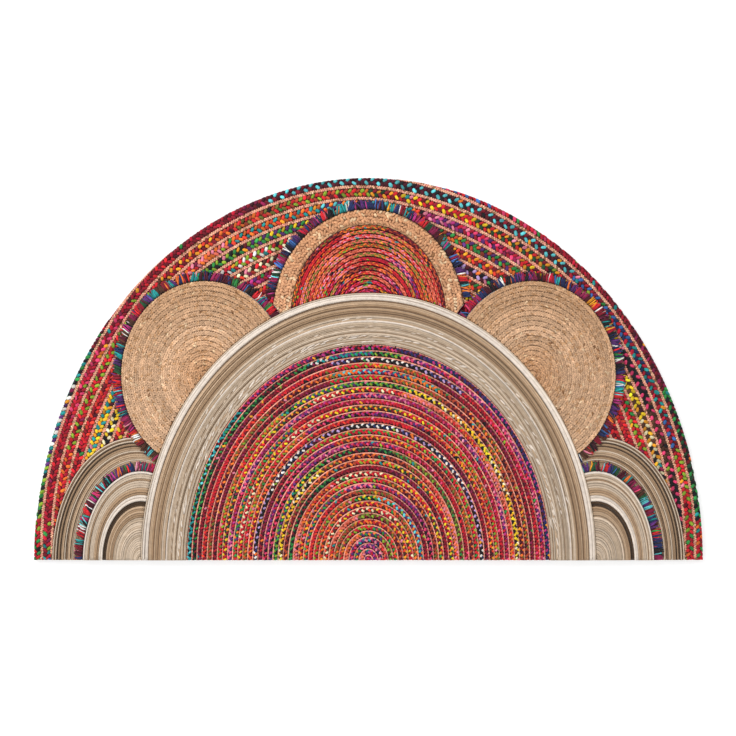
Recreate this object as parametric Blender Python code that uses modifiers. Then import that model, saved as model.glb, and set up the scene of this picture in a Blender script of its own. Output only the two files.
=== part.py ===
"""Half-round doormat pieced edge to edge from coiled braid rounds, in metres with Z up.

The straight edge runs along X at the mat's -Y side, and the origin is on the floor under the
middle of the mat. Every panel lies flat on the floor and keeps a narrow seam to its neighbours.
The rag fringes lie on the panels round the raised rounds.
"""

import math
import random
from collections import namedtuple

import bmesh
import bpy

MM = 0.001

# Driving sizes of the whole mat
MAT_WIDTH = 700 * MM
MAT_DEPTH = 400 * MM
STRAIGHT_EDGE_Y = -MAT_DEPTH / 2
SEAM = 0.3 * MM
CUT_HEIGHT = 60 * MM
MERGE = 0.01 * MM

# A plan shape: the centre's distance from the middle and from the straight edge, the half-width,
# the half-length and the number of straight sides it is drawn with
Oval = namedtuple("Oval", "x up across along sides")

MAT = Oval(0, 0, MAT_WIDTH / 2, MAT_DEPTH, 128)
CENTRE_BAND = Oval(0, 0, 238 * MM, 279.5 * MM, 72)
CENTRE_ROUND = Oval(0, 0, 190.5 * MM, 226 * MM, 48)
TOP_BORDER = Oval(0, 255.5 * MM, 100 * MM, 111.5 * MM, 48)
TOP_ROUND = Oval(0, 255.5 * MM, 81 * MM, 95.5 * MM, 48)
JUTE_ROUND = Oval(171.5 * MM, 193.5 * MM, 87 * MM, 98.5 * MM, 36)
CORNER_BAND = Oval(245 * MM, 0, 86 * MM, 128 * MM, 48)
CORNER_ROUND = Oval(238 * MM, 0, 60.5 * MM, 93 * MM, 48)

# The outer field's rows are a little taller than the outline, which trims the outermost ones
FIELD_OUTER = Oval(0, 0, 354 * MM, 411 * MM, 80)

# How the rows of a turned panel lie: how far in the rows reach as a share of the panel's radius,
# how many there are, the height of their crowns and the depth of the valleys between them
Rows = namedtuple("Rows", "inner count crown relief")

FIELD_ROWS = Rows(0.607, 13, 8 * MM, 1.4 * MM)
CENTRE_BAND_ROWS = Rows(0.76, 8, 11.5 * MM, 1.2 * MM)
CENTRE_ROUND_ROWS = Rows(0, 36, 10.5 * MM, 1.3 * MM)
TOP_BORDER_ROWS = Rows(0.75, 3, 10.5 * MM, 1.4 * MM)
TOP_ROUND_ROWS = Rows(0, 15, 10 * MM, 1.2 * MM)
JUTE_ROUND_ROWS = Rows(0, 19, 10.5 * MM, 1.2 * MM)
CORNER_BAND_ROWS = Rows(0.6, 8, 8 * MM, 0.9 * MM)
CORNER_ROUND_ROWS = Rows(0, 11, 10.5 * MM, 0.9 * MM)
CORNER_GROOVE_ROW = 6
CORNER_GROOVE_DEPTH = 2.5 * MM

# Rag fringe: short locks on a narrow strip sewn round a panel
FRINGE_BOTTOM = FIELD_ROWS.crown + SEAM
FRINGE_THICKNESS = 1.9 * MM
FRINGE_STRIP = 1.6 * MM
FRINGE_REACH = 10.5 * MM
LOCK_PITCH = 7.2 * MM
LOCK_ROOT_WIDTH = 4.6 * MM
LOCK_TIP_WIDTH = 3.8 * MM
LOCK_LEAN = math.radians(5)
LOCK_SHORTEST = 0.72
LOCK_CLEARANCE = 3 * MM

# Seeds of the uneven lock lengths, one for each fringe of a kind
TOP_FRINGE_SEED = 11
JUTE_FRINGE_SEED = 21
CORNER_FRINGE_SEED = 31

# Colour, roughness for each kind of yarn
Yarn = namedtuple("Yarn", "colour roughness")

YARNS = {
    "field_rag": Yarn((0.48, 0.05, 0.07), 0.85),
    "centre_rag": Yarn((0.62, 0.14, 0.10), 0.85),
    "top_rag": Yarn((0.66, 0.20, 0.13), 0.85),
    "fringe_rag": Yarn((0.25, 0.05, 0.16), 0.85),
    "jute": Yarn((0.58, 0.38, 0.20), 0.9),
    "jute_border": Yarn((0.64, 0.44, 0.27), 0.9),
    "pale_cord": Yarn((0.60, 0.53, 0.44), 0.8),
    "taupe_cord": Yarn((0.40, 0.34, 0.28), 0.8),
}


def new_collection(name):
    """A new collection in the scene."""
    collection = bpy.data.collections.new(name)
    bpy.context.scene.collection.children.link(collection)
    return collection


def place(oval):
    """The oval's centre in the mat's frame, at floor level."""
    return (oval.x, STRAIGHT_EDGE_Y + oval.up, 0)


def mirrored(oval, side):
    """The oval on the left (-1) or the right (1) of the mat."""
    return oval._replace(x=oval.x * side)


def grown(oval, margin):
    """The oval with a margin added all round."""
    return oval._replace(across=oval.across + margin, along=oval.along + margin)


def on_rim(oval, angle):
    """The point of the oval's rim at an angle, in the mat's plane."""
    x, y, _ = place(oval)
    return (x + oval.across * math.cos(angle), y + oval.along * math.sin(angle))


def inside(oval, point):
    """Whether a point of the mat's plane lies inside the oval."""
    x, y, _ = place(oval)
    return ((point[0] - x) / oval.across) ** 2 + ((point[1] - y) / oval.along) ** 2 < 1


def only_in(collection, obj):
    """Moves an object from the scene's own collection to this one."""
    for owner in list(obj.users_collection):
        owner.objects.unlink(obj)
    collection.objects.link(obj)
    return obj


def yarn_material(name):
    """The material of a kind of yarn, made once."""
    material = bpy.data.materials.get(name)
    if material is None:
        material = bpy.data.materials.new(name)
        material.use_nodes = True
        shader = material.node_tree.nodes["Principled BSDF"]
        shader.inputs["Base Color"].default_value = (*YARNS[name].colour, 1)
        shader.inputs["Roughness"].default_value = YARNS[name].roughness
        shader.inputs["Metallic"].default_value = 0
    return material


def row_profile(radius, rows):
    """Radius and height of each point of a ribbed top, from the middle outwards."""
    start = radius * rows.inner
    pitch = (radius - start) / rows.count
    points = []
    for row in range(rows.count):
        valley = rows.crown - rows.relief * (0 if start == 0 and row == 0 else 1)
        points.append((start + row * pitch, valley))
        points.append((start + (row + 0.5) * pitch, rows.crown))
    points.append((radius, rows.crown - rows.relief))
    return points


def corner_round_profile(radius):
    """The ribbed top of a corner round, with the deep groove that rings its core."""
    points = row_profile(radius, CORNER_ROUND_ROWS)
    groove = 2 * CORNER_GROOVE_ROW + 1
    at, height = points[groove]
    points[groove] = (at, height - CORNER_GROOVE_DEPTH)
    return points


def turned(name, oval, top, yarn, collection):
    """A panel whose ribbed top is turned about its centre and drawn out to the oval's shape."""
    is_disc = top[0][0] == 0
    profile = top + [(oval.across, 0), (top[0][0], 0)]
    shape = bmesh.new()
    points = [shape.verts.new((radius, 0, height)) for radius, height in profile]
    for start, end in zip(points, points[1:]):
        shape.edges.new((start, end))
    if not is_disc:
        shape.edges.new((points[-1], points[0]))
    mesh = bpy.data.meshes.new(name)
    shape.to_mesh(mesh)
    shape.free()
    mesh.materials.append(yarn_material(yarn))
    panel = bpy.data.objects.new(name, mesh)
    collection.objects.link(panel)
    panel.location = place(oval)
    panel.scale = (1, oval.along / oval.across, 1)
    screw = panel.modifiers.new("coiled rows", "SCREW")
    screw.steps = oval.sides
    screw.render_steps = oval.sides
    screw.use_smooth_shade = False
    screw.use_merge_vertices = True
    screw.merge_threshold = MERGE
    return panel


def prism(name, oval, cutters, margin=SEAM):
    """A tall cutter of the oval's plan shape, with a margin."""
    wide = grown(oval, margin)
    bpy.ops.mesh.primitive_cylinder_add(
        vertices=oval.sides, radius=1, depth=CUT_HEIGHT, location=place(oval)
    )
    cutter = bpy.context.object
    cutter.name = name
    cutter.scale = (wide.across, wide.along, 1)
    return as_cutter(cutter, cutters)


def as_cutter(cutter, cutters):
    """Marks an object as a helper that is not part of the mat."""
    cutter.hide_render = True
    cutter.display_type = "WIRE"
    return only_in(cutters, cutter)


def cut(obj, operation, *others):
    """Adds one exact Boolean for each of the other objects."""
    for other in others:
        boolean = obj.modifiers.new(f"{operation.lower()} {other.name}", "BOOLEAN")
        boolean.operation = operation
        boolean.solver = "EXACT"
        boolean.object = other
    return obj


def mat_blank(cutters):
    """The mat's own outline: the oval without what lies past the straight edge."""
    bpy.ops.mesh.primitive_cube_add(size=1)
    offcut = bpy.context.object
    offcut.name = "offcut"
    offcut.scale = (2 * MAT_WIDTH, 2 * MAT_DEPTH, 2 * CUT_HEIGHT)
    offcut.location = (0, STRAIGHT_EDGE_Y - MAT_DEPTH, 0)
    as_cutter(offcut, cutters)
    return cut(prism("blank", MAT, cutters, 0), "DIFFERENCE", offcut)


def lock_angles(oval):
    """Angles a lock's pitch apart along the oval's rim."""
    angle = 0
    angles = []
    while angle < 2 * math.pi:
        angles.append(angle)
        speed = math.hypot(oval.across * math.sin(angle), oval.along * math.cos(angle))
        angle += LOCK_PITCH / speed
    return angles[:-1]


def lock_outline(rim, angle, chance, covers):
    """The four plan points of one lock, or its two root points where something covers it."""
    x, y = on_rim(rim, angle)
    heading = math.atan2(math.sin(angle) / rim.along, math.cos(angle) / rim.across)
    along_rim = (-math.sin(heading), math.cos(heading))
    lean = heading + chance.uniform(-LOCK_LEAN, LOCK_LEAN)
    reach = (FRINGE_REACH - FRINGE_STRIP) * chance.uniform(LOCK_SHORTEST, 1)
    tip = (x + reach * math.cos(lean), y + reach * math.sin(lean))

    def beside(point, width):
        return (point[0] + along_rim[0] * width / 2, point[1] + along_rim[1] * width / 2)

    root_start = beside((x, y), -LOCK_ROOT_WIDTH)
    root_end = beside((x, y), LOCK_ROOT_WIDTH)
    far = beside(tip, LOCK_TIP_WIDTH), beside(tip, -LOCK_TIP_WIDTH)
    under_cover = any(
        inside(grown(cover, LOCK_CLEARANCE), point)
        for cover in covers
        for point in (root_start, root_end, *far)
    )
    past_edge = min(root_start[1], root_end[1], far[0][1], far[1][1]) < (
        STRAIGHT_EDGE_Y + LOCK_CLEARANCE
    )
    if under_cover or past_edge:
        return [root_start, root_end]
    return [root_start, beside(tip, -LOCK_TIP_WIDTH), beside(tip, LOCK_TIP_WIDTH), root_end]


def add_loop(curve, points):
    """A closed run of straight lines in a flat curve."""
    spline = curve.splines.new("POLY")
    spline.points.add(len(points) - 1)
    for spot, (x, y) in zip(spline.points, points):
        spot.co = (x, y, 0, 1)
    spline.use_cyclic_u = True


def fringe(name, oval, covers, seed, collection):
    """A comb of rag locks round a panel, as one flat solid with its sewn strip."""
    chance = random.Random(seed)
    curve = bpy.data.curves.new(name, "CURVE")
    curve.dimensions = "2D"
    curve.fill_mode = "BOTH"
    curve.extrude = FRINGE_THICKNESS / 2
    rim = grown(oval, SEAM + FRINGE_STRIP)
    locks = []
    for angle in lock_angles(rim):
        locks += lock_outline(rim, angle, chance, covers)
    add_loop(curve, locks)
    step = 2 * math.pi / oval.sides
    inner = grown(oval, SEAM)
    add_loop(curve, [on_rim(inner, step * side) for side in range(oval.sides)])
    comb = bpy.data.objects.new(name + " outline", curve)
    bpy.context.scene.collection.objects.link(comb)
    bpy.context.view_layer.update()
    graph = bpy.context.evaluated_depsgraph_get()
    mesh = bpy.data.meshes.new_from_object(comb.evaluated_get(graph))
    shape = bmesh.new()
    shape.from_mesh(mesh)
    bmesh.ops.remove_doubles(shape, verts=shape.verts, dist=MERGE)
    bmesh.ops.recalc_face_normals(shape, faces=shape.faces)
    shape.to_mesh(mesh)
    shape.free()
    bpy.data.objects.remove(comb)
    mesh.materials.clear()
    mesh.materials.append(yarn_material("fringe_rag"))
    locks = bpy.data.objects.new(name, mesh)
    locks.location = (0, 0, FRINGE_BOTTOM + FRINGE_THICKNESS / 2)
    collection.objects.link(locks)
    return locks


def build():
    """Models every panel and fringe of the mat."""
    for obj in list(bpy.data.objects):
        bpy.data.objects.remove(obj)
    mat = new_collection("half_round_doormat")
    cutters = new_collection("cutters")
    blank = mat_blank(cutters)
    sides = {"left": -1, "right": 1}
    jute_ovals = {side: mirrored(JUTE_ROUND, sign) for side, sign in sides.items()}
    jute_reach = {
        side: grown(oval, SEAM + FRINGE_REACH) for side, oval in jute_ovals.items()
    }

    # Cutters of the panels that lie higher than their neighbours
    under_centre = prism("under centre band", CENTRE_BAND, cutters)
    under_jute = {
        side: prism(f"under jute {side}", oval, cutters) for side, oval in jute_ovals.items()
    }
    jute_cover = {
        side: prism(f"jute cover {side}", oval, cutters) for side, oval in jute_reach.items()
    }
    jute_zone = {
        side: prism(f"jute zone {side}", oval, cutters, 0) for side, oval in jute_reach.items()
    }

    # Centre
    top = row_profile(CENTRE_ROUND.across, CENTRE_ROUND_ROWS)
    centre_round = turned("centre_round", CENTRE_ROUND, top, "centre_rag", mat)
    cut(centre_round, "INTERSECT", blank)
    top = row_profile(CENTRE_BAND.across, CENTRE_BAND_ROWS)
    centre_band = turned("centre_band", CENTRE_BAND, top, "pale_cord", mat)
    cut(centre_band, "INTERSECT", blank)
    cut(centre_band, "DIFFERENCE", prism("under centre round", CENTRE_ROUND, cutters))

    # Top round in its jute border
    top = row_profile(TOP_ROUND.across, TOP_ROUND_ROWS)
    top_round = turned("top_round", TOP_ROUND, top, "top_rag", mat)
    cut(top_round, "DIFFERENCE", under_centre)
    top = row_profile(TOP_BORDER.across, TOP_BORDER_ROWS)
    top_border = turned("top_border", TOP_BORDER, top, "jute_border", mat)
    cut(top_border, "DIFFERENCE", prism("under top round", TOP_ROUND, cutters), under_centre)
    cut(top_border, "DIFFERENCE", *jute_cover.values())
    covers = [CENTRE_BAND, *jute_reach.values()]
    top_fringe = fringe("top_fringe", TOP_BORDER, covers, TOP_FRINGE_SEED, mat)
    cut(top_fringe, "DIFFERENCE", under_centre, *jute_cover.values())
    top_hole = prism("under top border", TOP_BORDER, cutters)
    cut(top_hole, "DIFFERENCE", *jute_zone.values())

    # The outer field, round everything
    top = row_profile(FIELD_OUTER.across, FIELD_ROWS)
    field = turned("field", FIELD_OUTER, top, "field_rag", mat)
    cut(field, "INTERSECT", blank)
    cut(field, "DIFFERENCE", under_centre, top_hole)

    for side, sign in sides.items():
        # Jute round and its fringe
        oval = jute_ovals[side]
        top = row_profile(oval.across, JUTE_ROUND_ROWS)
        jute_round = turned(f"jute_round_{side}", oval, top, "jute", mat)
        cut(jute_round, "DIFFERENCE", under_centre)
        seed = JUTE_FRINGE_SEED + sign
        jute_fringe = fringe(f"jute_fringe_{side}", oval, [CENTRE_BAND], seed, mat)
        cut(jute_fringe, "DIFFERENCE", under_centre)

        # Corner round, its fringe and the striped band that it lies on
        round_oval = mirrored(CORNER_ROUND, sign)
        top = corner_round_profile(round_oval.across)
        corner_round = turned(f"corner_round_{side}", round_oval, top, "pale_cord", mat)
        cut(corner_round, "INTERSECT", blank)
        cut(corner_round, "DIFFERENCE", under_centre, jute_cover[side])
        covers = [CENTRE_BAND, jute_reach[side]]
        seed = CORNER_FRINGE_SEED + sign
        corner_fringe = fringe(f"corner_fringe_{side}", round_oval, covers, seed, mat)
        cut(corner_fringe, "INTERSECT", blank)
        cut(corner_fringe, "DIFFERENCE", under_centre, jute_cover[side])
        corner_hole = prism(f"under corner round {side}", round_oval, cutters)
        cut(corner_hole, "DIFFERENCE", jute_zone[side])
        band_oval = mirrored(CORNER_BAND, sign)
        top = row_profile(band_oval.across, CORNER_BAND_ROWS)
        corner_band = turned(f"corner_band_{side}", band_oval, top, "taupe_cord", mat)
        cut(corner_band, "INTERSECT", blank)
        cut(corner_band, "DIFFERENCE", corner_hole, under_jute[side], under_centre)
        under_corner = prism(f"under corner band {side}", band_oval, cutters)
        cut(field, "DIFFERENCE", under_jute[side], under_corner)


build()
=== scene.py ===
"""Looks of the half-round braided doormat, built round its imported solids, in metres.

Each panel is a flat backing sheet on its solid, covered with rag or jute plaits or with cotton
yarns that follow the coil. Short rag fringes lie round the raised rounds.
"""

import logging
import math
from collections.abc import Iterable
from dataclasses import dataclass, field, replace
from enum import Enum

import bmesh
import bpy
import numpy as np
from mathutils import Matrix


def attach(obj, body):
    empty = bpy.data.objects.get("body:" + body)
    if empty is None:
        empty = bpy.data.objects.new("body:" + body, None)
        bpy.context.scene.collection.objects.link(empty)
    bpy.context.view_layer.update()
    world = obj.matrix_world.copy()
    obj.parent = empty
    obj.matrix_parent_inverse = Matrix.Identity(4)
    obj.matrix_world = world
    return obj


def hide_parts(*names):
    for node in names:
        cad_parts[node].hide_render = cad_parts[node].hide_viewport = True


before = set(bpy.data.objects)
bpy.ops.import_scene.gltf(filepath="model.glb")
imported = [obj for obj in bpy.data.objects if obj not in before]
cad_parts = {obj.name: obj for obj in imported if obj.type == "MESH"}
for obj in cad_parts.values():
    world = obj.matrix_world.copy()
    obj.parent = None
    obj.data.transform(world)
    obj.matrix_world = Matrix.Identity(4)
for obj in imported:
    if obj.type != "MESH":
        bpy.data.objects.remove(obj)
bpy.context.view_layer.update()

log = logging.getLogger("doormat")

MM = 0.001
STRAIGHT_EDGE_Y = -0.2
SEAM = 0.3 * MM


class Side(Enum):
    """The side of the mat that a mirrored panel lies on."""

    LEFT = -1
    RIGHT = 1


class Dye(Enum):
    """The colours of the rag strips, jute and cotton, in sRGB."""

    CRIMSON = "#B3122F"
    RED = "#D4202A"
    SCARLET = "#E8402C"
    DARK_RED = "#7E1024"
    MAROON = "#4E0D20"
    WINE = "#8C1B4A"
    MAGENTA = "#B8327E"
    HOT_PINK = "#E33F6E"
    PINK = "#E8839A"
    SALMON = "#E9705A"
    RUST = "#B2442A"
    ORANGE = "#EC7428"
    AMBER = "#F2A024"
    YELLOW = "#F3CB22"
    CREAM = "#F1E3B6"
    WHITE = "#F1EBE3"
    LIME = "#89A82C"
    OLIVE = "#6E6D2A"
    OLIVE_GOLD = "#B08A3C"
    GREEN = "#2F8A40"
    DARK_GREEN = "#1C4A2C"
    TEAL = "#1F8F8E"
    TURQUOISE = "#5FC6CC"
    BLUE = "#3D6DB2"
    NAVY = "#1E2A58"
    PURPLE = "#57296C"
    LILAC = "#B596C8"
    BROWN = "#54301F"
    BLACK = "#17131A"
    PEACH = "#EBB191"
    PEACH_PINK = "#EC9F88"
    JUTE_PALE = "#EBCBA6"
    JUTE_PEACH = "#DAA57E"
    JUTE_GOLD = "#D6AE8B"
    JUTE_DEEP = "#C69A72"
    JUTE_DARK = "#946A48"
    CORD_WHITE = "#E0D2C4"
    CORD_CREAM = "#C8B49E"
    CORD_GREY = "#B5A089"
    CORD_BEIGE = "#B1967A"
    CORD_TAN = "#9F8265"
    CORD_TAUPE = "#7E634A"
    CORD_DARK = "#4C3928"


def linear(colour: str) -> tuple[float, float, float]:
    """The linear colour of an sRGB hex value.

    Args:
        colour: The colour as #RRGGBB.

    Returns:
        Red, green and blue from 0 to 1.
    """
    values = [int(colour[start : start + 2], 16) / 255 for start in (1, 3, 5)]
    return tuple(v / 12.92 if v <= 0.04045 else ((v + 0.055) / 1.055) ** 2.4 for v in values)


DYES = {dye: np.array(linear(dye.value)) for dye in Dye}


def named(names: str) -> tuple[Dye, ...]:
    """The dyes that a line of words names."""
    return tuple(Dye[name] for name in names.split())


def tints(dyes: tuple[Dye, ...]) -> np.ndarray:
    """The linear colours of some dyes, a row for each."""
    return np.array([DYES[dye] for dye in dyes])


@dataclass(frozen=True)
class Oval:
    """A plan shape: the centre's place, from the middle and the straight edge, and half sizes."""

    x: float
    up: float
    across: float
    along: float

    @property
    def centre(self) -> np.ndarray:
        """The centre in the mat's frame."""
        return np.array((self.x, STRAIGHT_EDGE_Y + self.up))

    def mirrored(self, side: Side) -> "Oval":
        """The oval on one side of the mat."""
        return replace(self, x=self.x * side.value)

    def grown(self, margin: float) -> "Oval":
        """The oval with a margin added all round."""
        return replace(self, across=self.across + margin, along=self.along + margin)

    def scaled(self, share: float) -> "Oval":
        """The oval at a share of its size, round the same centre."""
        return replace(self, across=self.across * share, along=self.along * share)

    def spread(self, angles: np.ndarray) -> np.ndarray:
        """How much wider apart its rows lie at some angles in degrees than along X."""
        return 1 + (self.along / self.across - 1) * np.abs(np.sin(np.radians(angles)))

    def share(self, points: np.ndarray) -> np.ndarray:
        """How far out points lie, where 1 is on the rim."""
        offset = points - self.centre
        return np.hypot(offset[..., 0] / self.across, offset[..., 1] / self.along)

    def pulled_in(self, points: np.ndarray) -> np.ndarray:
        """The points, with those outside the oval moved to its rim."""
        share = self.share(points)[..., None]
        return np.where(share > 1, self.centre + (points - self.centre) / share, points)

    def on_rim(self, angles: np.ndarray) -> np.ndarray:
        """The rim's points at some angles in radians."""
        offset = np.stack((self.across * np.cos(angles), self.along * np.sin(angles)), axis=-1)
        return self.centre + offset

    def angle_of(self, points: np.ndarray) -> np.ndarray:
        """The angles in degrees, from 0 to 360, at which points lie."""
        offset = points - self.centre
        angles = np.arctan2(offset[..., 1] / self.along, offset[..., 0] / self.across)
        return np.degrees(angles) % 360


MAT = Oval(0, 0, 350 * MM, 400 * MM)
CENTRE_BAND = Oval(0, 0, 238 * MM, 279.5 * MM)
CENTRE_ROUND = Oval(0, 0, 190.5 * MM, 226 * MM)
TOP_BORDER = Oval(0, 255.5 * MM, 100 * MM, 111.5 * MM)
TOP_ROUND = Oval(0, 255.5 * MM, 81 * MM, 95.5 * MM)
JUTE_ROUND = Oval(171.5 * MM, 193.5 * MM, 87 * MM, 98.5 * MM)
CORNER_BAND = Oval(245 * MM, 0, 86 * MM, 128 * MM)
CORNER_ROUND = Oval(238 * MM, 0, 60.5 * MM, 93 * MM)
FIELD_LINE = Oval(0, 0, 343.5 * MM, 398.8 * MM)
FRINGE_REACH = 10.5 * MM


@dataclass(frozen=True)
class Region:
    """The part of the mat's plane that a panel covers.

    Attributes:
        inside: Ovals that hold the panel.
        outside: Ovals of the higher panels beside it.
    """

    inside: tuple[Oval, ...]
    outside: tuple[Oval, ...] = ()

    def holds(self, points: np.ndarray, margin: float = 0) -> np.ndarray:
        """Whether points lie in the panel.

        Args:
            points: Plan points in any array whose last axis is x and y.
            margin: How far outside the panel a point may still lie.

        Returns:
            A boolean for each point.
        """
        kept = points[..., 1] > STRAIGHT_EDGE_Y - margin
        for oval in self.inside:
            kept &= oval.grown(margin).share(points) < 1
        for oval in self.outside:
            kept &= oval.grown(SEAM - margin).share(points) > 1
        return kept

    def trimmed(self, points: np.ndarray) -> np.ndarray:
        """The points, with those outside the panel moved to its cut edge.

        Args:
            points: Plan points in any array whose last axis is x and y.

        Returns:
            The points that lie in the panel.
        """
        points = points.copy()
        for oval in self.inside:
            points = oval.pulled_in(points)
        for oval in self.outside:
            wide = oval.grown(SEAM)
            share = np.maximum(wide.share(points), 0.5)[..., None]
            points = np.where(share < 1, wide.centre + (points - wide.centre) / share, points)
        points[..., 1] = np.maximum(points[..., 1], STRAIGHT_EDGE_Y)
        return points


def measured(points: np.ndarray) -> np.ndarray:
    """How far each plan point lies along their line from the first."""
    return np.concatenate(([0], np.cumsum(np.hypot(*np.diff(points, axis=0).T))))


def to_right(headings: np.ndarray) -> np.ndarray:
    """The directions to the right of some headings in radians."""
    return np.stack((np.sin(headings), -np.cos(headings)), axis=-1)


def raised(plan: np.ndarray, heights: np.ndarray) -> np.ndarray:
    """Plan points with their heights."""
    return np.concatenate((plan, heights[:, None]), axis=1)


@dataclass
class Path:
    """A line in the mat's plane, measured along its length.

    Attributes:
        points: Plan points, close together.
        closed: Whether the last point meets the first.
    """

    points: np.ndarray
    closed: bool
    lengths: np.ndarray = field(init=False)
    headings: np.ndarray = field(init=False)

    def __post_init__(self) -> None:
        """Works out the length and heading at each point."""
        self.lengths = measured(self.points)
        ends = np.gradient(self.points, axis=0)
        self.headings = np.unwrap(np.arctan2(ends[:, 1], ends[:, 0]))

    @property
    def length(self) -> float:
        """The whole length."""
        return float(self.lengths[-1])

    def at(self, along: np.ndarray) -> tuple[np.ndarray, np.ndarray]:
        """The place and heading at some distances from the start.

        Args:
            along: Distances in metres.

        Returns:
            Plan points and headings in radians.
        """
        places = [np.interp(along, self.lengths, self.points[:, axis]) for axis in (0, 1)]
        return np.stack(places, axis=-1), np.interp(along, self.lengths, self.headings)


RING_POINTS = 721
# How far past the straight edge a half ring runs, in radians
RING_OVERRUN = 0.06


def ring(oval: Oval, whole: bool, drift: np.ndarray | None = None) -> Path:
    """The path of a coil's row.

    Args:
        oval: The row's middle line.
        whole: Whether it runs all round, or only from the straight edge to itself.
        drift: How far each of RING_POINTS points lies inside the oval, if not on it.

    Returns:
        The path, counterclockwise from the right.
    """
    first, last = (0, 2 * math.pi) if whole else (-RING_OVERRUN, math.pi + RING_OVERRUN)
    angles = np.linspace(first, last, RING_POINTS)
    points = oval.on_rim(angles)
    if drift is not None:
        inwards = oval.centre - points
        points = points + inwards * (drift / np.hypot(*inwards.T))[:, None]
    return Path(points, whole)


@dataclass(frozen=True)
class Shape:
    """A small closed shape that is repeated: its vertices, triangles and painted shade at each
    vertex.
    """

    corners: np.ndarray
    triangles: np.ndarray
    light: np.ndarray


LAID_DOWN = Matrix.Rotation(math.pi / 2, 3, "Y")
# Powers that make a crossing's ends and sides blunter than a ball's, and how dark the painted shade
# at its ends is
BLUNT_ENDS, BLUNT_SIDES, PAINTED_END_SHADE = 0.7, 0.85, 0.25
# How deep a crossing's flat underside lies below its middle, as a share of its height
FLAT_BELOW = 0.28
LOCK_SIDES, LOCK_STEPS = 6, 4
# How dark the painted shade at a lock's root is, and over what share of its length that fades
PAINTED_ROOT_LIGHT, PAINTED_ROOT_FADE = 0.45, 0.35


def taken(shape: bmesh.types.BMesh, light: np.ndarray) -> Shape:
    """The arrays of a small mesh, which is then freed.

    Args:
        shape: The mesh.
        light: A factor on the colour of each vertex: painted shade.

    Returns:
        The shape's arrays.
    """
    bmesh.ops.triangulate(shape, faces=shape.faces)
    bmesh.ops.recalc_face_normals(shape, faces=shape.faces)
    shape.verts.index_update()
    corners = np.array([corner.co for corner in shape.verts])
    triangles = np.array([[corner.index for corner in face.verts] for face in shape.faces])
    shape.free()
    return Shape(corners, triangles, light)


def bulge(sides: int, rings: int, low: float = 0.55) -> Shape:
    """One crossing of a plait's strand: rounded, flat below, lying along X.

    Args:
        sides: Sides round the strand.
        rings: Steps from end to end.
        low: The painted shade on its lowest parts, deep between the strands, as a factor on the
            colour.

    Returns:
        A shape one unit long, wide and high.
    """
    shape = bmesh.new()
    bmesh.ops.create_uvsphere(shape, u_segments=sides, v_segments=rings, radius=0.5)
    bmesh.ops.rotate(shape, verts=shape.verts, matrix=LAID_DOWN)
    for corner in shape.verts:
        corner.co.x = math.copysign(0.5 * abs(2 * corner.co.x) ** BLUNT_ENDS, corner.co.x)
        corner.co.y = math.copysign(0.5 * abs(2 * corner.co.y) ** BLUNT_SIDES, corner.co.y)
        corner.co.z = max(corner.co.z, -FLAT_BELOW)
    along, _, up = np.array([corner.co for corner in shape.verts]).T
    # Painted shade: the colour darkens low down between the strands and towards the tucked ends
    shown = low + (1 - low) * np.clip((up + FLAT_BELOW) / 0.5, 0, 1)
    return taken(shape, shown * (1 - PAINTED_END_SHADE * np.abs(2 * along) ** 3))


def rag_lock() -> Shape:
    """One flat strip of a fringe, from its root at X 0 to its cut end at X 1.

    Returns:
        A shape one unit long and thick, and about one wide.
    """
    shape = bmesh.new()
    bmesh.ops.create_cone(
        shape, cap_ends=True, segments=LOCK_SIDES, radius1=0.5, radius2=0.5, depth=1
    )
    ends = [(edge, [corner.co.z for corner in edge.verts]) for edge in shape.edges]
    long_edges = [edge for edge, (first, last) in ends if abs(first - last) > 0.5]
    bmesh.ops.subdivide_edges(shape, edges=long_edges, cuts=LOCK_STEPS - 1)
    bmesh.ops.rotate(shape, verts=shape.verts, matrix=LAID_DOWN)
    bmesh.ops.translate(shape, verts=shape.verts, vec=(0.5, 0, 0))
    for corner in shape.verts:
        # A strip is widest about its middle and narrowest at its cut end
        corner.co.y *= 0.72 + 0.5 * math.sin(math.pi * min(corner.co.x * 0.9 + 0.1, 1))
    along, _, up = np.array([corner.co for corner in shape.verts]).T
    # Painted shade: darker at the root and on the underside
    root = PAINTED_ROOT_LIGHT + (1 - PAINTED_ROOT_LIGHT) * np.clip(along / PAINTED_ROOT_FADE, 0, 1)
    return taken(shape, root * np.clip(0.75 + up, 0.4, 1))


@dataclass
class Spots:
    """Where the copies of a shape go.

    Attributes:
        places: Centres, with the height.
        headings: Turns about the vertical, in radians.
        sizes: Length, width and height of each.
        colours: Linear colours.
        bends: How far the far end of each is bent aside, as a share of its length.
        dips: How far the far end of each hangs below its start.
    """

    places: np.ndarray
    headings: np.ndarray
    sizes: np.ndarray
    colours: np.ndarray
    bends: np.ndarray | None = None
    dips: np.ndarray | None = None

    def picked(self, kept: np.ndarray) -> "Spots":
        """The spots where kept is true."""
        parts = {name: value[kept] for name, value in vars(self).items() if value is not None}
        return Spots(**parts)


def together(groups: list[Spots]) -> Spots:
    """Several groups of spots as one."""
    names = [name for name, value in vars(groups[0]).items() if value is not None]
    parts = {name: [getattr(group, name) for group in groups] for name in names}
    return Spots(**{name: np.concatenate(part) for name, part in parts.items()})


def wired(
    tree: bpy.types.NodeTree, node: bpy.types.Node, inputs: dict[object, object]
) -> bpy.types.Node:
    """The node, with values or links in its inputs, by name or number.

    Args:
        tree: The node tree.
        node: The node.
        inputs: Values or sockets for its inputs, by name or number.

    Returns:
        The node itself.
    """
    for name, value in inputs.items():
        if isinstance(value, bpy.types.NodeSocket):
            tree.links.new(value, node.inputs[name])
        else:
            node.inputs[name].default_value = value
    return node


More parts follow.
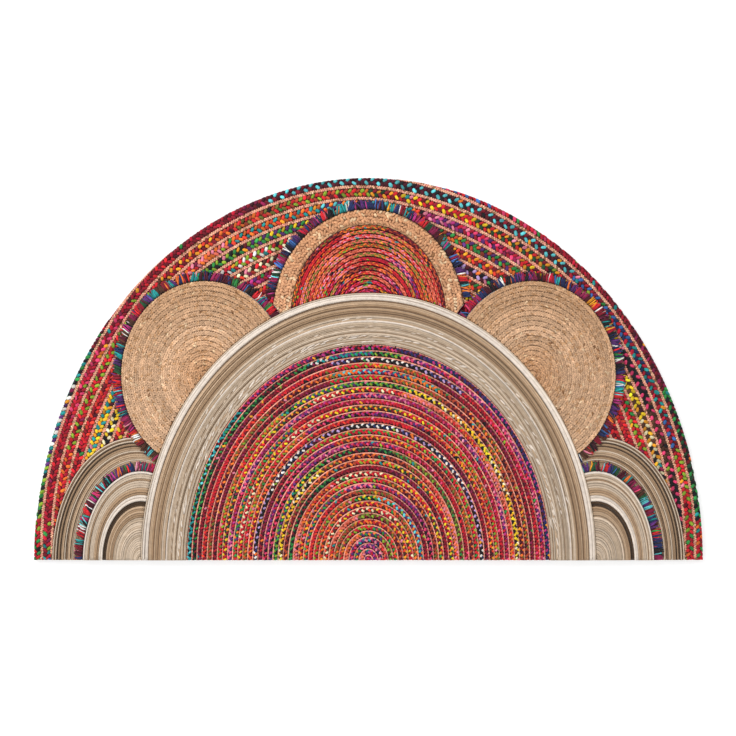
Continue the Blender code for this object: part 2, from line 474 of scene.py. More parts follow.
def add_node(
    tree: bpy.types.NodeTree, kind: str, inputs: dict[object, object], **settings: object
) -> bpy.types.Node:
    """Adds a node, sets it up and links it.

    Args:
        tree: The material's node tree.
        kind: The node's type, without its prefix.
        inputs: Values or sockets for its inputs, by name or number.
        settings: Its own properties.

    Returns:
        The node.
    """
    node = tree.nodes.new("ShaderNode" + kind)
    for name, value in settings.items():
        setattr(node, name, value)
    return wired(tree, node, inputs)


@dataclass(frozen=True)
class Finish:
    """What a piece is made of.

    Attributes:
        name: What it is and how it was made.
    """

    name: str

    def material(self) -> bpy.types.Material:
        """The material, made once.

        Returns:
            The material of this name.
        """
        material = bpy.data.materials.get(self.name)
        if material is None:
            material = bpy.data.materials.new(self.name)
            material.use_nodes = True
            tree = material.node_tree
            wired(tree, tree.nodes["Principled BSDF"], self.shading(tree))
        return material

    def shading(self, tree: bpy.types.NodeTree) -> dict[object, object]:
        """What goes into the shader's inputs."""
        raise NotImplementedError


# Names of the mesh's own map, along and across each strand, and of its own colours with the painted
# shade multiplied in
STRAND_MAP = "strand_map"
STRAND_COLOUR_AND_SHADE = "strand_colour"
# Two noises added up lie mostly between these
NOISE_SPAN = (0.65, 1.35)


@dataclass(frozen=True)
class StrandFinish(Finish):
    """The finish of rag strips, jute or cotton yarn, whose colour, painted shade included, comes
    with the mesh.

    Attributes:
        crease: Width of the creases or fibres, in metres.
        crease_length: Their length along the strand, in metres.
        depth: Their height, in metres.
        mottle: Size of the paler and darker patches, in metres.
        pale: Brightness of the palest patch, where 1 is the strand's own colour.
        dark: Brightness of the darkest patch.
        roughness: How matt it is.
        sheen: The soft shine of loose fibres.
    """

    crease: float
    crease_length: float
    depth: float
    mottle: float
    pale: float
    dark: float
    roughness: float
    sheen: float

    def shading(self, tree: bpy.types.NodeTree) -> dict[object, object]:
        """The strand's own colour and painted shade from the mesh, with creases along it and paler
        and darker patches.

        Args:
            tree: The material's node tree.

        Returns:
            Values and sockets for the shader's inputs.
        """
        # The mesh's colours carry painted shade as well as the dyes
        own = add_node(tree, "Attribute", {}, attribute_name=STRAND_COLOUR_AND_SHADE)
        strand = add_node(tree, "UVMap", {}, uv_map=STRAND_MAP)
        place = add_node(tree, "TexCoord", {})
        scale = (1 / self.crease_length, 1 / self.crease, 1)
        drawn = add_node(tree, "Mapping", {"Vector": strand.outputs["UV"], "Scale": scale})
        streaks = {"Vector": drawn.outputs["Vector"], "Scale": 1, "Detail": 3, "Roughness": 0.6}
        creases = add_node(tree, "TexNoise", streaks, noise_dimensions="2D")
        blots = {"Vector": place.outputs["Object"], "Scale": 1 / self.mottle, "Detail": 2}
        patches = add_node(tree, "TexNoise", blots)
        factors = {0: creases.outputs["Fac"], 1: patches.outputs["Fac"]}
        both = add_node(tree, "Math", factors, operation="ADD")
        low, high = NOISE_SPAN
        levels = {"From Min": low, "From Max": high, "To Min": self.dark, "To Max": self.pale}
        value = add_node(tree, "MapRange", {"Value": both.outputs["Value"], **levels})
        tint = {0: own.outputs["Color"], "Scale": value.outputs["Result"]}
        tinted = add_node(tree, "VectorMath", tint, operation="SCALE")
        rise = {"Height": creases.outputs["Fac"], "Distance": self.depth, "Strength": 0.8}
        return {
            "Base Color": tinted.outputs["Vector"],
            "Normal": add_node(tree, "Bump", rise).outputs["Normal"],
            "Roughness": self.roughness,
            "Sheen Weight": self.sheen,
            "Specular IOR Level": 0.25,
        }


# Torn cotton rag, plaited: soft creases along the strip, matt with a faint fuzz
RAG = StrandFinish("plaited_cotton_rag", 0.9 * MM, 6 * MM, 0.5 * MM, 2.5 * MM, 1.3, 0.6, 0.8, 0.12)
# Raw jute, plaited: stiff hairy fibres, dry and uneven in tone
JUTE = StrandFinish(
    "plaited_raw_jute", 0.45 * MM, 4 * MM, 0.4 * MM, 1.8 * MM, 1.32, 0.58, 0.9, 0.05
)
# Brushed cotton yarn, laid side by side: long smooth streaks
COTTON = StrandFinish(
    "brushed_cotton_yarn", 0.4 * MM, 16 * MM, 0.3 * MM, 5 * MM, 1.12, 0.84, 0.82, 0.15
)
# A wave texture repeats every pi / 10 of its input
WAVES_PER_UNIT = 10 / math.pi
# The numbers of a mix node's two colours among its inputs, and of its result
MIX_FIRST, MIX_SECOND, MIX_RESULT = 6, 7, 2


@dataclass(frozen=True)
class BackingFinish(Finish):
    """The woven backing that carries a panel's rows, coloured like them.

    Attributes:
        pale: Colour of its upper threads.
        dark: Colour between its threads: painted shade.
        thread: Distance from thread to thread, in metres.
    """

    pale: Dye
    dark: Dye
    thread: float

    def shading(self, tree: bpy.types.NodeTree) -> dict[object, object]:
        """Threads that cross, with painted shade between them.

        Args:
            tree: The material's node tree.

        Returns:
            Values and sockets for the shader's inputs.
        """
        place = add_node(tree, "TexCoord", {})
        scale = 1 / (self.thread * WAVES_PER_UNIT)
        wave = {"Vector": place.outputs["Object"], "Scale": scale, "Distortion": 1.5, "Detail": 1}
        warp, weft = (add_node(tree, "TexWave", wave, bands_direction=way) for way in "XY")
        factors = {0: warp.outputs["Fac"], 1: weft.outputs["Fac"]}
        weave = add_node(tree, "Math", factors, operation="MULTIPLY").outputs["Value"]
        dark, pale = ((*linear(dye.value), 1) for dye in (self.dark, self.pale))
        # The darker colour between the threads is painted shade
        mixed = {"Factor": weave, MIX_FIRST: dark, MIX_SECOND: pale}
        colour = add_node(tree, "Mix", mixed, data_type="RGBA")
        relief = add_node(tree, "Bump", {"Height": weave, "Distance": 0.4 * MM, "Strength": 0.7})
        return {
            "Base Color": colour.outputs[MIX_RESULT],
            "Normal": relief.outputs["Normal"],
            "Roughness": 0.9,
            "Specular IOR Level": 0.2,
        }


# Each backing: its thread colour, then the painted shade between its threads
RED_BACKING = BackingFinish("woven_red_backing", Dye.DARK_RED, Dye.MAROON, 1.6 * MM)
JUTE_BACKING = BackingFinish("woven_jute_backing", Dye.JUTE_GOLD, Dye.JUTE_DEEP, 1.4 * MM)
CORD_BACKING = BackingFinish("woven_cotton_backing", Dye.CORD_TAN, Dye.CORD_TAUPE, 1.2 * MM)


def placed(name: str, data: bpy.types.ID) -> bpy.types.Object:
    """A new object in the scene."""
    thing = bpy.data.objects.new(name, data)
    bpy.context.scene.collection.objects.link(thing)
    return thing


@dataclass
class Strips:
    """The arrays of one joined mesh of strands.

    Attributes:
        corners: Vertices.
        triangles: Vertex numbers, a row for each face.
        colours: A linear colour for each vertex, painted shade included, kept as the mesh's strand
            colour attribute.
        grain: Along and across the strand at each vertex, in metres, kept as STRAND_MAP.
    """

    corners: np.ndarray
    triangles: np.ndarray
    colours: np.ndarray
    grain: np.ndarray

    def piece(self, name: str, finish: StrandFinish) -> bpy.types.Object:
        """A smooth-shaded piece of them.

        Args:
            name: The piece's name.
            finish: What it is made of.

        Returns:
            The piece's object.
        """
        mesh = bpy.data.meshes.new(name)
        count, numbers = len(self.triangles), self.triangles.ravel()
        mesh.vertices.add(len(self.corners))
        mesh.vertices.foreach_set("co", self.corners.astype(np.float32).ravel())
        mesh.loops.add(3 * count)
        mesh.loops.foreach_set("vertex_index", numbers.astype(np.int32))
        mesh.polygons.add(count)
        mesh.polygons.foreach_set("loop_start", np.arange(0, 3 * count, 3, dtype=np.int32))
        mesh.polygons.foreach_set("use_smooth", np.ones(count, dtype=bool))
        mesh.update(calc_edges=True)
        layer = mesh.uv_layers.new(name=STRAND_MAP)
        layer.data.foreach_set("uv", self.grain[numbers].astype(np.float32).ravel())
        tint = mesh.attributes.new(STRAND_COLOUR_AND_SHADE, "FLOAT_COLOR", "POINT")
        opaque = np.concatenate((self.colours, np.ones((len(self.colours), 1))), axis=1)
        tint.data.foreach_set("color", opaque.astype(np.float32).ravel())
        mesh.validate()
        mesh.materials.append(finish.material())
        return placed(name, mesh)


# How far the grain moves on from one copy of a shape to the next, so that no two look the same
GRAIN_STEP = 7.3 * MM
# From one yarn to the next it moves on by this many steps
YARN_GRAIN_STEPS = 11
# The painted shade of a yarn at its lowest, deep between its neighbours, as a factor on its colour
PAINTED_YARN_LOW_LIGHT = 0.52


def repeated(
    name: str, shape: Shape, spots: Spots, region: Region, finish: StrandFinish
) -> bpy.types.Object:
    """Copies of a small shape as one mesh, cut off at the panel's edge.

    Args:
        name: The piece's name.
        shape: The shape to repeat.
        spots: Where the copies go.
        region: What the copies stay in.
        finish: What they are made of.

    Returns:
        The piece's object.
    """
    local = shape.corners[None] * spots.sizes[:, None]
    grain = local[..., :2] + (np.arange(len(local)) * GRAIN_STEP)[:, None, None]
    along = shape.corners[None, :, 0]
    if spots.bends is not None:
        local[..., 1] += spots.bends[:, None] * spots.sizes[:, :1] * along**2
    if spots.dips is not None:
        local[..., 2] -= spots.dips[:, None] * along**2
    turn_x, turn_y = np.cos(spots.headings)[:, None], np.sin(spots.headings)[:, None]
    x, y = local[..., 0], local[..., 1]
    plan = np.stack((x * turn_x - y * turn_y, x * turn_y + y * turn_x), axis=-1)
    plan = region.trimmed(plan + spots.places[:, None, :2])
    corners = np.concatenate((plan, local[..., 2:] + spots.places[:, None, 2:]), axis=-1)
    shift = (np.arange(len(corners)) * len(shape.corners))[:, None, None]
    # Each copy's colour times its shape's painted shade
    colours = spots.colours[:, None] * shape.light[None, :, None]
    rows = ((corners, 3), (shape.triangles[None] + shift, 3), (colours, 3), (grain, 2))
    return Strips(*(array.reshape(-1, width) for array, width in rows)).piece(name, finish)


@dataclass
class Yarn:
    """A thin round yarn along a path.

    Attributes:
        points: Points along its middle.
        widths: Its width at each point.
        heights: Its height at each point.
        colours: Its linear colour at each point.
    """

    points: np.ndarray
    widths: np.ndarray
    heights: np.ndarray
    colours: np.ndarray


def capped(grid: np.ndarray, first: np.ndarray, last: np.ndarray) -> np.ndarray:
    """The rows of a tube's grid, with those of its two end points after them."""
    return np.concatenate((grid.reshape(-1, grid.shape[-1]), [first, last]))


def swept(
    name: str, yarns: list[Yarn], sides: int, region: Region, finish: StrandFinish
) -> bpy.types.Object:
    """Yarns as one mesh of closed tubes.

    Args:
        name: The piece's name.
        yarns: The yarns.
        sides: Sides round each.
        region: What the yarns stay in.
        finish: What they are made of.

    Returns:
        The piece's object.
    """
    turns = -math.pi / 2 + 2 * math.pi * (np.arange(sides) + 0.5) / sides
    # Painted shade round each tube: darker on its underside and lower sides
    light = PAINTED_YARN_LOW_LIGHT + (1 - PAINTED_YARN_LOW_LIGHT) * np.clip(np.sin(turns) * 0.9 + 0.6, 0, 1)
    parts: list[tuple[np.ndarray, ...]] = []
    total = 0
    for number, yarn in enumerate(yarns):
        middles = yarn.points[:, :2]
        ends = np.gradient(middles, axis=0)
        ends /= np.hypot(*ends.T)[:, None]
        aside = np.stack((ends[:, 1], -ends[:, 0]), axis=-1)
        half = yarn.widths / 2
        plan = middles[:, None] + aside[:, None] * (half[:, None] * np.cos(turns))[..., None]
        rise = yarn.points[:, None, 2] + yarn.heights[:, None] / 2 * np.sin(turns)
        corners = np.concatenate((region.trimmed(plan), rise[..., None]), axis=-1)
        colours = yarn.colours[:, None] * light[None, :, None]
        along = measured(middles)[:, None] + number * YARN_GRAIN_STEPS * GRAIN_STEP
        around = np.arange(1.0, sides + 1) / sides * np.median(half) * 2 * math.pi
        grain = np.stack(np.broadcast_arrays(along, around[None]), axis=-1)
        grid = np.arange(half.size * sides).reshape(-1, sides) + total
        near, far = grid[:-1], grid[1:]
        quads = np.stack((near, far, np.roll(far, -1, axis=1), np.roll(near, -1, axis=1)), axis=-1)
        # Each end is closed by a fan of triangles round a point in its middle
        tip = total + grid.size
        fans = [
            np.stack((grid[0], np.roll(grid[0], -1), np.full(sides, tip)), -1),
            np.stack((np.roll(grid[-1], -1), grid[-1], np.full(sides, tip + 1)), -1),
        ]
        parts.append(
            (
                capped(corners, corners[0].mean(axis=0), corners[-1].mean(axis=0)),
                capped(colours, colours[0, 0], colours[-1, 0]),
                capped(grain, grain[0, 0], grain[-1, 0]),
                quads.reshape(-1, 4),
                np.concatenate(fans),
            )
        )
        total += grid.size + 2
    corners, colours, grain, quads, fans = (np.concatenate(column) for column in zip(*parts))
    triangles = np.concatenate((quads[:, [0, 1, 2]], quads[:, [0, 2, 3]], fans))
    return Strips(corners, triangles, colours, grain).piece(name, finish)


class Mix(Enum):
    """Rag plaits by the dyes that each of their three strands changes between."""

    CRIMSON = "CRIMSON RED, DARK_RED CRIMSON, HOT_PINK CRIMSON"
    DARK_CRIMSON = "DARK_RED, MAROON DARK_RED, CRIMSON WINE"
    BRIGHT_RED = "RED SCARLET, RED, DARK_RED CRIMSON"
    RED_LIME = "RED, LIME ORANGE LIME, CRIMSON RED"
    GREEN_WHITE = "GREEN TEAL, WHITE LIME TEAL, BLACK PURPLE"
    GREEN_BLACK = "DARK_GREEN GREEN, BLACK, GREEN DARK_RED"
    GREEN_RED = "RED, GREEN LIME, CRIMSON RED"
    BEADED = "MAROON, TURQUOISE, DARK_RED BLACK MAROON"
    BEADED_RED = "CRIMSON RED, TEAL BLUE, CRIMSON HOT_PINK"
    BLUE_RED = "CRIMSON, BLUE TEAL, NAVY DARK_RED"
    OLIVE_RED = "OLIVE LIME, ORANGE RED, RED RUST"
    YELLOW_RED = "RED DARK_RED, YELLOW AMBER, DARK_GREEN RED"
    YELLOW_TEAL = "AMBER ORANGE, YELLOW AMBER, TEAL LIME"
    GREEN_YELLOW = "GREEN, YELLOW LIME, PURPLE BLACK"
    ORANGE_TEAL = "ORANGE SCARLET, TEAL TURQUOISE, PURPLE ORANGE"
    PINK_BLACK = "HOT_PINK, BROWN BLACK, BLACK BROWN"
    PINK_NIGHT = "HOT_PINK MAGENTA, BLACK PURPLE, CRIMSON WINE"
    PINK_WHITE = "RED PINK, WHITE CREAM, CRIMSON LIME"
    PURPLE_GREEN = "PURPLE RED, GREEN, RUST ORANGE"
    ORANGE_RED = "ORANGE AMBER, SCARLET RED, BROWN DARK_RED"
    ORANGE_PINK = "SALMON ORANGE, RED SALMON, PINK RUST"
    SALMON_MOSS = "SALMON ORANGE, OLIVE_GOLD SALMON, OLIVE PINK RUST"
    PINK_PLUM = "HOT_PINK MAGENTA, WINE PURPLE, CRIMSON PINK"
    NAVY_WHITE = "NAVY BLACK, WHITE LILAC, BLACK MAROON"
    NAVY_PURPLE = "NAVY, PURPLE MAGENTA, MAROON NAVY"
    TEAL_BLACK = "TEAL GREEN, BLACK, TURQUOISE TEAL"
    OLIVE_GREEN = "OLIVE, GREEN LIME, DARK_RED BROWN"
    YELLOW_BLACK = "YELLOW AMBER, CREAM YELLOW, BLACK BROWN"
    RED_WHITE = "SCARLET RED, CREAM YELLOW, BROWN CRIMSON"
    RUST = "RUST ORANGE, DARK_RED RUST, OLIVE MAROON"
    PLUM_TEAL = "PURPLE WINE, MAGENTA PINK, TEAL NAVY"

    def dyes(self, strand: int) -> tuple[Dye, ...]:
        """The dyes of a strand by its number."""
        return named(self.value.split(",")[strand])


@dataclass(frozen=True)
class Stretch:
    """A length of a row in one mix of rags, up to an angle in degrees from the right."""

    until: float
    mix: Mix


STRAY_DYES = named("PINK ORANGE LIME AMBER DARK_RED TEAL BLACK WINE GREEN MAROON")
# Rows start a little before the right end of the straight edge, at angles below 0
FIRST_ANGLE = -90.0


@dataclass
class Crossings:
    """The crossings of one row's plait.

    Attributes:
        spots: Where they go, still white.
        along: Where each lies along the row.
        strand: The number of the strand that shows there.
    """

    spots: Spots
    along: np.ndarray
    strand: np.ndarray

    def dyed(
        self,
        stretches: Iterable[Stretch],
        angle: np.ndarray,
        runs: tuple[float, float] | float,
        strays: float,
        chance: np.random.Generator,
    ) -> None:
        """Colours the crossings, stretch by stretch.

        Args:
            stretches: The row's stretches, counterclockwise.
            angle: Where each crossing lies, in degrees from the right.
            runs: Least and greatest usual length of one rag strip, or the one length, in mm.
            strays: Share of the crossings that show a knot or patch of another colour.
            chance: The row's own random numbers.
        """
        start = FIRST_ANGLE
        for stretch in stretches:
            inside = (angle >= start) & (angle < stretch.until)
            length = (chance.uniform(*runs) if isinstance(runs, tuple) else runs) * MM
            self.spots.colours[inside] = self.changing(inside, stretch.mix, length, strays, chance)
            start = stretch.until

    def changing(
        self,
        inside: np.ndarray,
        mix: Mix,
        run: float,
        strays: float,
        chance: np.random.Generator,
    ) -> np.ndarray:
        """The colours of some crossings, as each strand changes from rag to rag.

        Args:
            inside: Which crossings.
            mix: The rags.
            run: The usual length of one rag strip.
            strays: Share of the crossings in another colour.
            chance: The row's own random numbers.

        Returns:
            Linear colours.
        """
        along, strand = self.along[inside], self.strand[inside]
        colours = np.zeros((len(along), 3))
        for number in range(3):
            table = tints(mix.dyes(number))
            which = ((along / run + chance.uniform(0, len(table))) % len(table)).astype(int)
            shown = strand == number
            colours[shown] = table[which[shown]]
        stray = chance.random(len(along)) < strays
        picked = chance.integers(0, len(STRAY_DYES), len(along))
        colours[stray] = tints(STRAY_DYES)[picked[stray]]
        return colours


# How far aside of the row's middle the crossings lie, as a share of the plait's width
ASIDE = 0.24
# How far the sizes and heights of even crossings stray, as shares of the usual ones
SIZE_STRAY, HEIGHT_STRAY = 0.05, 0.03


@dataclass(frozen=True)
class Plait:
    """A flat three-strand plait.

    Attributes:
        width: Its whole width.
        pitch: From crossing to crossing along one side.
        height: How thick a crossing shows.
        slant: The angle of the crossings to the row, in degrees.
        plump: How far the crossings overlap, where 1 just touches.
        cover: Length of a crossing, as a share of the plait's width.
        unevenness: How far a crossing's turn strays, in radians.
    """

    width: float
    pitch: float
    height: float
    slant: float
    plump: float
    cover: float
    unevenness: float = 0.07

    def crossings(self, path: Path, top: float, chance: np.random.Generator) -> Crossings:
        """The plait's crossings along a path.

        Args:
            path: The row's middle line.
            top: Height of the plait's crown.
            chance: The row's own random numbers.

        Returns:
            The crossings, still white.
        """
        count = max(3, int(path.length / self.pitch))
        if path.closed:
            count -= count % 3
        number = np.arange(2 * count)
        along = (number + 0.5) * (path.length / count) / 2
        outer = np.where(number % 2 == 0, 1, -1)
        places, headings = path.at(along)
        stray = self.unevenness * self.width / 5
        offset = outer * self.width * ASIDE + chance.normal(0, stray, len(number))
        slant = math.radians(self.slant)
        turn = headings + outer * slant + chance.normal(0, self.unevenness, len(number))
        size = chance.normal(1, SIZE_STRAY + self.unevenness / 4, (len(number), 3))
        size *= (self.width * self.cover, self.pitch * math.cos(slant) * self.plump, self.height)
        sink = chance.normal(0, self.height * HEIGHT_STRAY, len(number))
        height = top - 0.5 * size[:, 2] + sink
        places = raised(places + to_right(headings) * offset[:, None], height)
        spots = Spots(places, turn, size, np.ones((len(number), 3)))
        return Crossings(spots, along, number % 3)


def jittered(colours: np.ndarray, spread: float, chance: np.random.Generator) -> np.ndarray:
    """Colours with each copy a little paler or darker."""
    return np.clip(colours * np.exp(chance.normal(0, spread, (len(colours), 1))), 0, 1)


MERGE = 0.01 * MM
END_DEPTH = 2.0 * MM
# How much wider and higher than its share of the row a cut end is
END_SWELL = 1.12
# The topmost cut end stays this far below the rows
END_SINK = 0.3 * MM
# A face of the backing's underside has a normal whose Z is less than this
FACING_DOWN = -0.99
# The backing's outer wall stands back by this much, behind the rows' sides and cut ends
WALL_INSET = 1.2 * MM
# A cut end's place along X, its width and its colour
Column = tuple[float, float, np.ndarray]


@dataclass
class Panel:
    """A flat panel of the mat: its backing and what is sewn on it.

    Attributes:
        node: The solid that it stands for.
        slot: The record's material slot; not used.
        region: What it covers.
        crown: Height of its rows.
        strip: Width of the strip that it was coiled from; not used.
        backing: The backing's finish.
        sink: How far the backing's top lies below the solid's.
    """

    node: str
    slot: str
    region: Region
    crown: float
    strip: float
    backing: BackingFinish
    sink: float = 1.8 * MM

    @property
    def rim(self) -> Oval:
        """The oval that its rows follow."""
        return self.region.inside[0]

    def backing_sheet(self) -> bpy.types.Object:
        """The flat sheet that carries the rows, with the solid's own outline.

        Returns:
            The sheet's object.
        """
        shape = bmesh.new()
        shape.from_mesh(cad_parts[self.node].data)
        bmesh.ops.remove_doubles(shape, verts=shape.verts, dist=MERGE)
        bmesh.ops.recalc_face_normals(shape, faces=shape.faces)
        top = max(corner.co.z for corner in shape.verts)
        core = MAT.grown(-WALL_INSET)
        for corner in shape.verts:
            corner.co.z *= (top - self.sink) / top
            plan = core.pulled_in(np.array(corner.co.xy))
            corner.co.x, corner.co.y = plan[0], max(plan[1], STRAIGHT_EDGE_Y + WALL_INSET)
        self.area = sum(face.calc_area() for face in shape.faces if face.normal.z < FACING_DOWN)
        mesh = bpy.data.meshes.new(f"{self.node}_backing")
        shape.to_mesh(mesh)
        shape.free()
        mesh.materials.append(self.backing.material())
        return placed(mesh.name, mesh)

    def cut_ends(self, columns: list[Column], layers: int) -> Spots:
        """The cut ends of the rows along the mat's straight edge.

        Args:
            columns: Where each row or yarn is cut along X, how wide it is, and its colour.
            layers: How many strands lie one over the other.

        Returns:
            The ends that lie in the panel.
        """
        chance = np.random.default_rng(len(columns))
        height = (self.crown - END_SINK) / layers
        places, sizes, colours = [], [], []
        for x, width, colour in columns:
            for layer in range(layers):
                places.append((x, STRAIGHT_EDGE_Y + END_DEPTH / 2, (layer + 0.5) * height))
                sizes.append((width * END_SWELL, END_DEPTH, height * END_SWELL))
                colours.append(colour)
        colours = jittered(np.array(colours), 0.16, chance)
        spots = Spots(np.array(places), np.zeros(len(places)), np.array(sizes), colours)
        return spots.picked(self.region.holds(spots.places[:, :2] + (0, END_DEPTH), SEAM))

    def sewn(self, sheet: bpy.types.Object, pieces: list[bpy.types.Object]) -> None:
        """Says what the backing and the pieces on it are.

        Args:
            sheet: The backing, which stands for the solid.
            pieces: The plaits, yarns and cut ends on it.
        """
        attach(sheet, "root")
        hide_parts(self.node)
        for piece in pieces:
            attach(piece, "root")
        log.info("%s: backing and %s", self.node, ", ".join(piece.name for piece in pieces))


YARN_STEP = 4 * MM
HALVINGS = 12


def edge_between(path: Path, region: Region, margin: float, inside: float, outside: float) -> float:
    """Where a path leaves a panel, between a distance inside it and one outside it.

    Args:
        path: The path.
        region: The panel.
        margin: How far outside it the path may run.
        inside: A distance along the path at which it is inside.
        outside: One at which it is outside.

    Returns:
        The last distance inside.
    """
    for _ in range(HALVINGS):
        middle = (inside + outside) / 2
        if region.holds(path.at(np.array([middle]))[0], margin)[0]:
            inside = middle
        else:
            outside = middle
    return inside


def split_between(path: Path, region: Region, margin: float) -> list[np.ndarray]:
    """The distances along a path at which it runs inside a panel, in unbroken runs.

    Args:
        path: The path.
        region: The panel.
        margin: How far outside it the path may run.

    Returns:
        Arrays of distances, a yarn's step apart.
    """
    along = np.linspace(0, path.length, max(12, int(path.length / YARN_STEP)))
    kept = region.holds(path.at(along)[0], margin)
    breaks = np.flatnonzero(np.diff(kept.astype(int))) + 1
    runs = []
    for run in np.split(np.arange(len(along)), breaks):
        if not kept[run[0]] or len(run) < 2:
            continue
        before, after = along[max(run[0] - 1, 0)], along[min(run[-1] + 1, len(along) - 1)]
        start = edge_between(path, region, margin, along[run[0]], before)
        end = edge_between(path, region, margin, along[run[-1]], after)
        inner = along[run]
        inner = inner[(inner > start + YARN_STEP / 8) & (inner < end - YARN_STEP / 8)]
        runs.append(np.concatenate(([start], inner, [end])))
    return [run for run in runs if len(run) > 2]


# The jute lines' tone comes and goes over these lengths, by these shares
LINE_WAVES = np.array((61, 23, 9)) * MM
LINE_SHADES = np.array((0.14, 0.12, 0.1))
# How far inside the seam between two rows a jute line lies, as a share of a row, and how far its
# middle lies below the crown, as a share of the plaits' height
LINE_SHIFT, LINE_SINK = 0.15, 0.42
# Usual lengths of one rag strip in a round and in the field, and on the field's side
ROUND_RUNS, FIELD_RUNS, SIDE_RUN = (35, 80), (60, 130), 90
# Between which angles the mix on a round's right ends, and the one on its crown, in degrees
RIGHT_ENDS, CROWN_ENDS = (45, 85), (98, 140)
RAG_HEIGHT = 2.4 * MM
# Crossing shapes: sides, rings, and the painted shade on their lowest parts
FINE_BULGE = bulge(6, 3)
JUTE_BULGE = bulge(5, 3, 0.5)
FULL_BULGE = bulge(8, 5, 0.3)
SOFT_BULGE = bulge(6, 5, 0.75)


@dataclass
class RagRound:
    """A round coiled from fine rag plaits with a thin jute line between the rows.

    Attributes:
        panel: The panel it covers.
        rows: How many rows from the middle to the rim.
        whole: Whether its rows run all round.
        plait_share: The plait's share of the row's width.
        pitch: From crossing to crossing.
        slant: The angle of the crossings to the row, in degrees.
        cover: Length of a crossing, as a share of the plait's width.
        plump: How far the crossings overlap.
        strays: Share of the crossings in another colour.
        line_dye: The colour of the line between the rows.
        chart: The mixes on the right, crown and left of each row, from the rim inwards.
        seed: Seed of its uneven plaits.
    """

    panel: Panel
    rows: int
    whole: bool
    plait_share: float
    pitch: float
    slant: float
    cover: float
    plump: float
    strays: float
    line_dye: Dye
    chart: tuple[tuple[Mix, ...], ...]
    seed: int

    def mixes(self, number: int, chance: np.random.Generator) -> list[Stretch]:
        """How the rags change round one row, from the right counterclockwise.

        Args:
            number: The row, from the rim inwards.
            chance: The round's random numbers.

        Returns:
            The row's stretches.
        """
        right, crown, left = self.chart[number % len(self.chart)]
        ends = (chance.uniform(*RIGHT_ENDS), chance.uniform(*CROWN_ENDS), 360)
        return [Stretch(end, mix) for end, mix in zip(ends, (right, crown, left))]

    def columns(self, number: int, share: float) -> list[Column]:
        """The cut ends of one row at both sides.

        Args:
            number: The row, from the rim inwards.
            share: Its share of the round's radius.

        Returns:
            Two columns a side.
        """
        rim, (right, _, left) = self.panel.rim, self.chart[number % len(self.chart)]
        width = rim.across / self.rows
        ends = [(side, mix, strand) for side, mix in ((1, right), (-1, left)) for strand in (0, 1)]
        return [
            (
                side * (share * rim.across + (strand - 0.5) * width / 2),
                width / 2,
                DYES[mix.dyes(strand)[0]],
            )
            for side, mix, strand in ends
        ]

    def build(self) -> None:
        """Makes the backing, the plaits and the jute lines."""
        chance = np.random.default_rng(self.seed)
        rim, region, node = self.panel.rim, self.panel.region, self.panel.node
        width = rim.across / self.rows * self.plait_share
        plait = Plait(width, self.pitch, RAG_HEIGHT, self.slant, self.plump, self.cover)
        groups, lines, columns = [], [], []
        for number in range(self.rows):
            share = 1 - (number + 0.5) / self.rows
            path = ring(rim.scaled(share), self.whole)
            row = plait.crossings(path, self.panel.crown, chance)
            plan = row.spots.places[:, :2]
            angle = rim.angle_of(plan)
            mixes = self.mixes(number, chance)
            row.dyed(mixes, angle, ROUND_RUNS, self.strays, chance)
            row.spots.sizes[:, 0] *= rim.spread(angle)
            groups.append(row.spots.picked(region.holds(plan, 0.1 * MM)))
            lines += self.line(1 - number / self.rows)
            if not self.whole:
                columns += self.columns(number, share)
        spots = together(groups)
        spots.colours = jittered(spots.colours, 0.12, chance)
        sheet = self.panel.backing_sheet()
        pieces = [
            repeated(f"{node}_plaits", FINE_BULGE, spots, region, RAG),
            swept(f"{node}_jute_lines", lines, 5, region, JUTE),
        ]
        if columns:
            ends = self.panel.cut_ends(columns, 3)
            pieces.append(repeated(f"{node}_ends", FINE_BULGE, ends, region, RAG))
        self.panel.sewn(sheet, pieces)

    def line(self, share: float) -> list[Yarn]:
        """The jute line at a share of the round's radius.

        Args:
            share: The share of the radius.

        Returns:
            The line, in as many lengths as show.
        """
        rim = self.panel.rim
        gap = rim.across / self.rows * (1 - self.plait_share)
        path = ring(rim.scaled(share - LINE_SHIFT / self.rows), self.whole)
        yarns = []
        for along in split_between(path, self.panel.region, 0.4 * MM):
            plan, _ = path.at(along)
            height = np.full(len(plan), self.panel.crown - RAG_HEIGHT * LINE_SINK)
            waves = np.sin(along[:, None] / LINE_WAVES + 50 * share * np.array((1.0, 2.3, 4.1)))
            size = gap * (1.4 + 0.1 * waves[:, 0])
            colours = DYES[self.line_dye] * np.exp(waves @ LINE_SHADES - 0.1)[:, None]
            yarns.append(Yarn(raised(plan, height), size, size * 1.2, colours))
        return yarns


def stretches(row: str) -> tuple[Stretch, ...]:
    """A row's stretches, from a line with the end angle and the mix of each in turn."""
    words = row.split()
    return tuple(Stretch(int(until), Mix[mix]) for until, mix in zip(words[::2], words[1::2]))


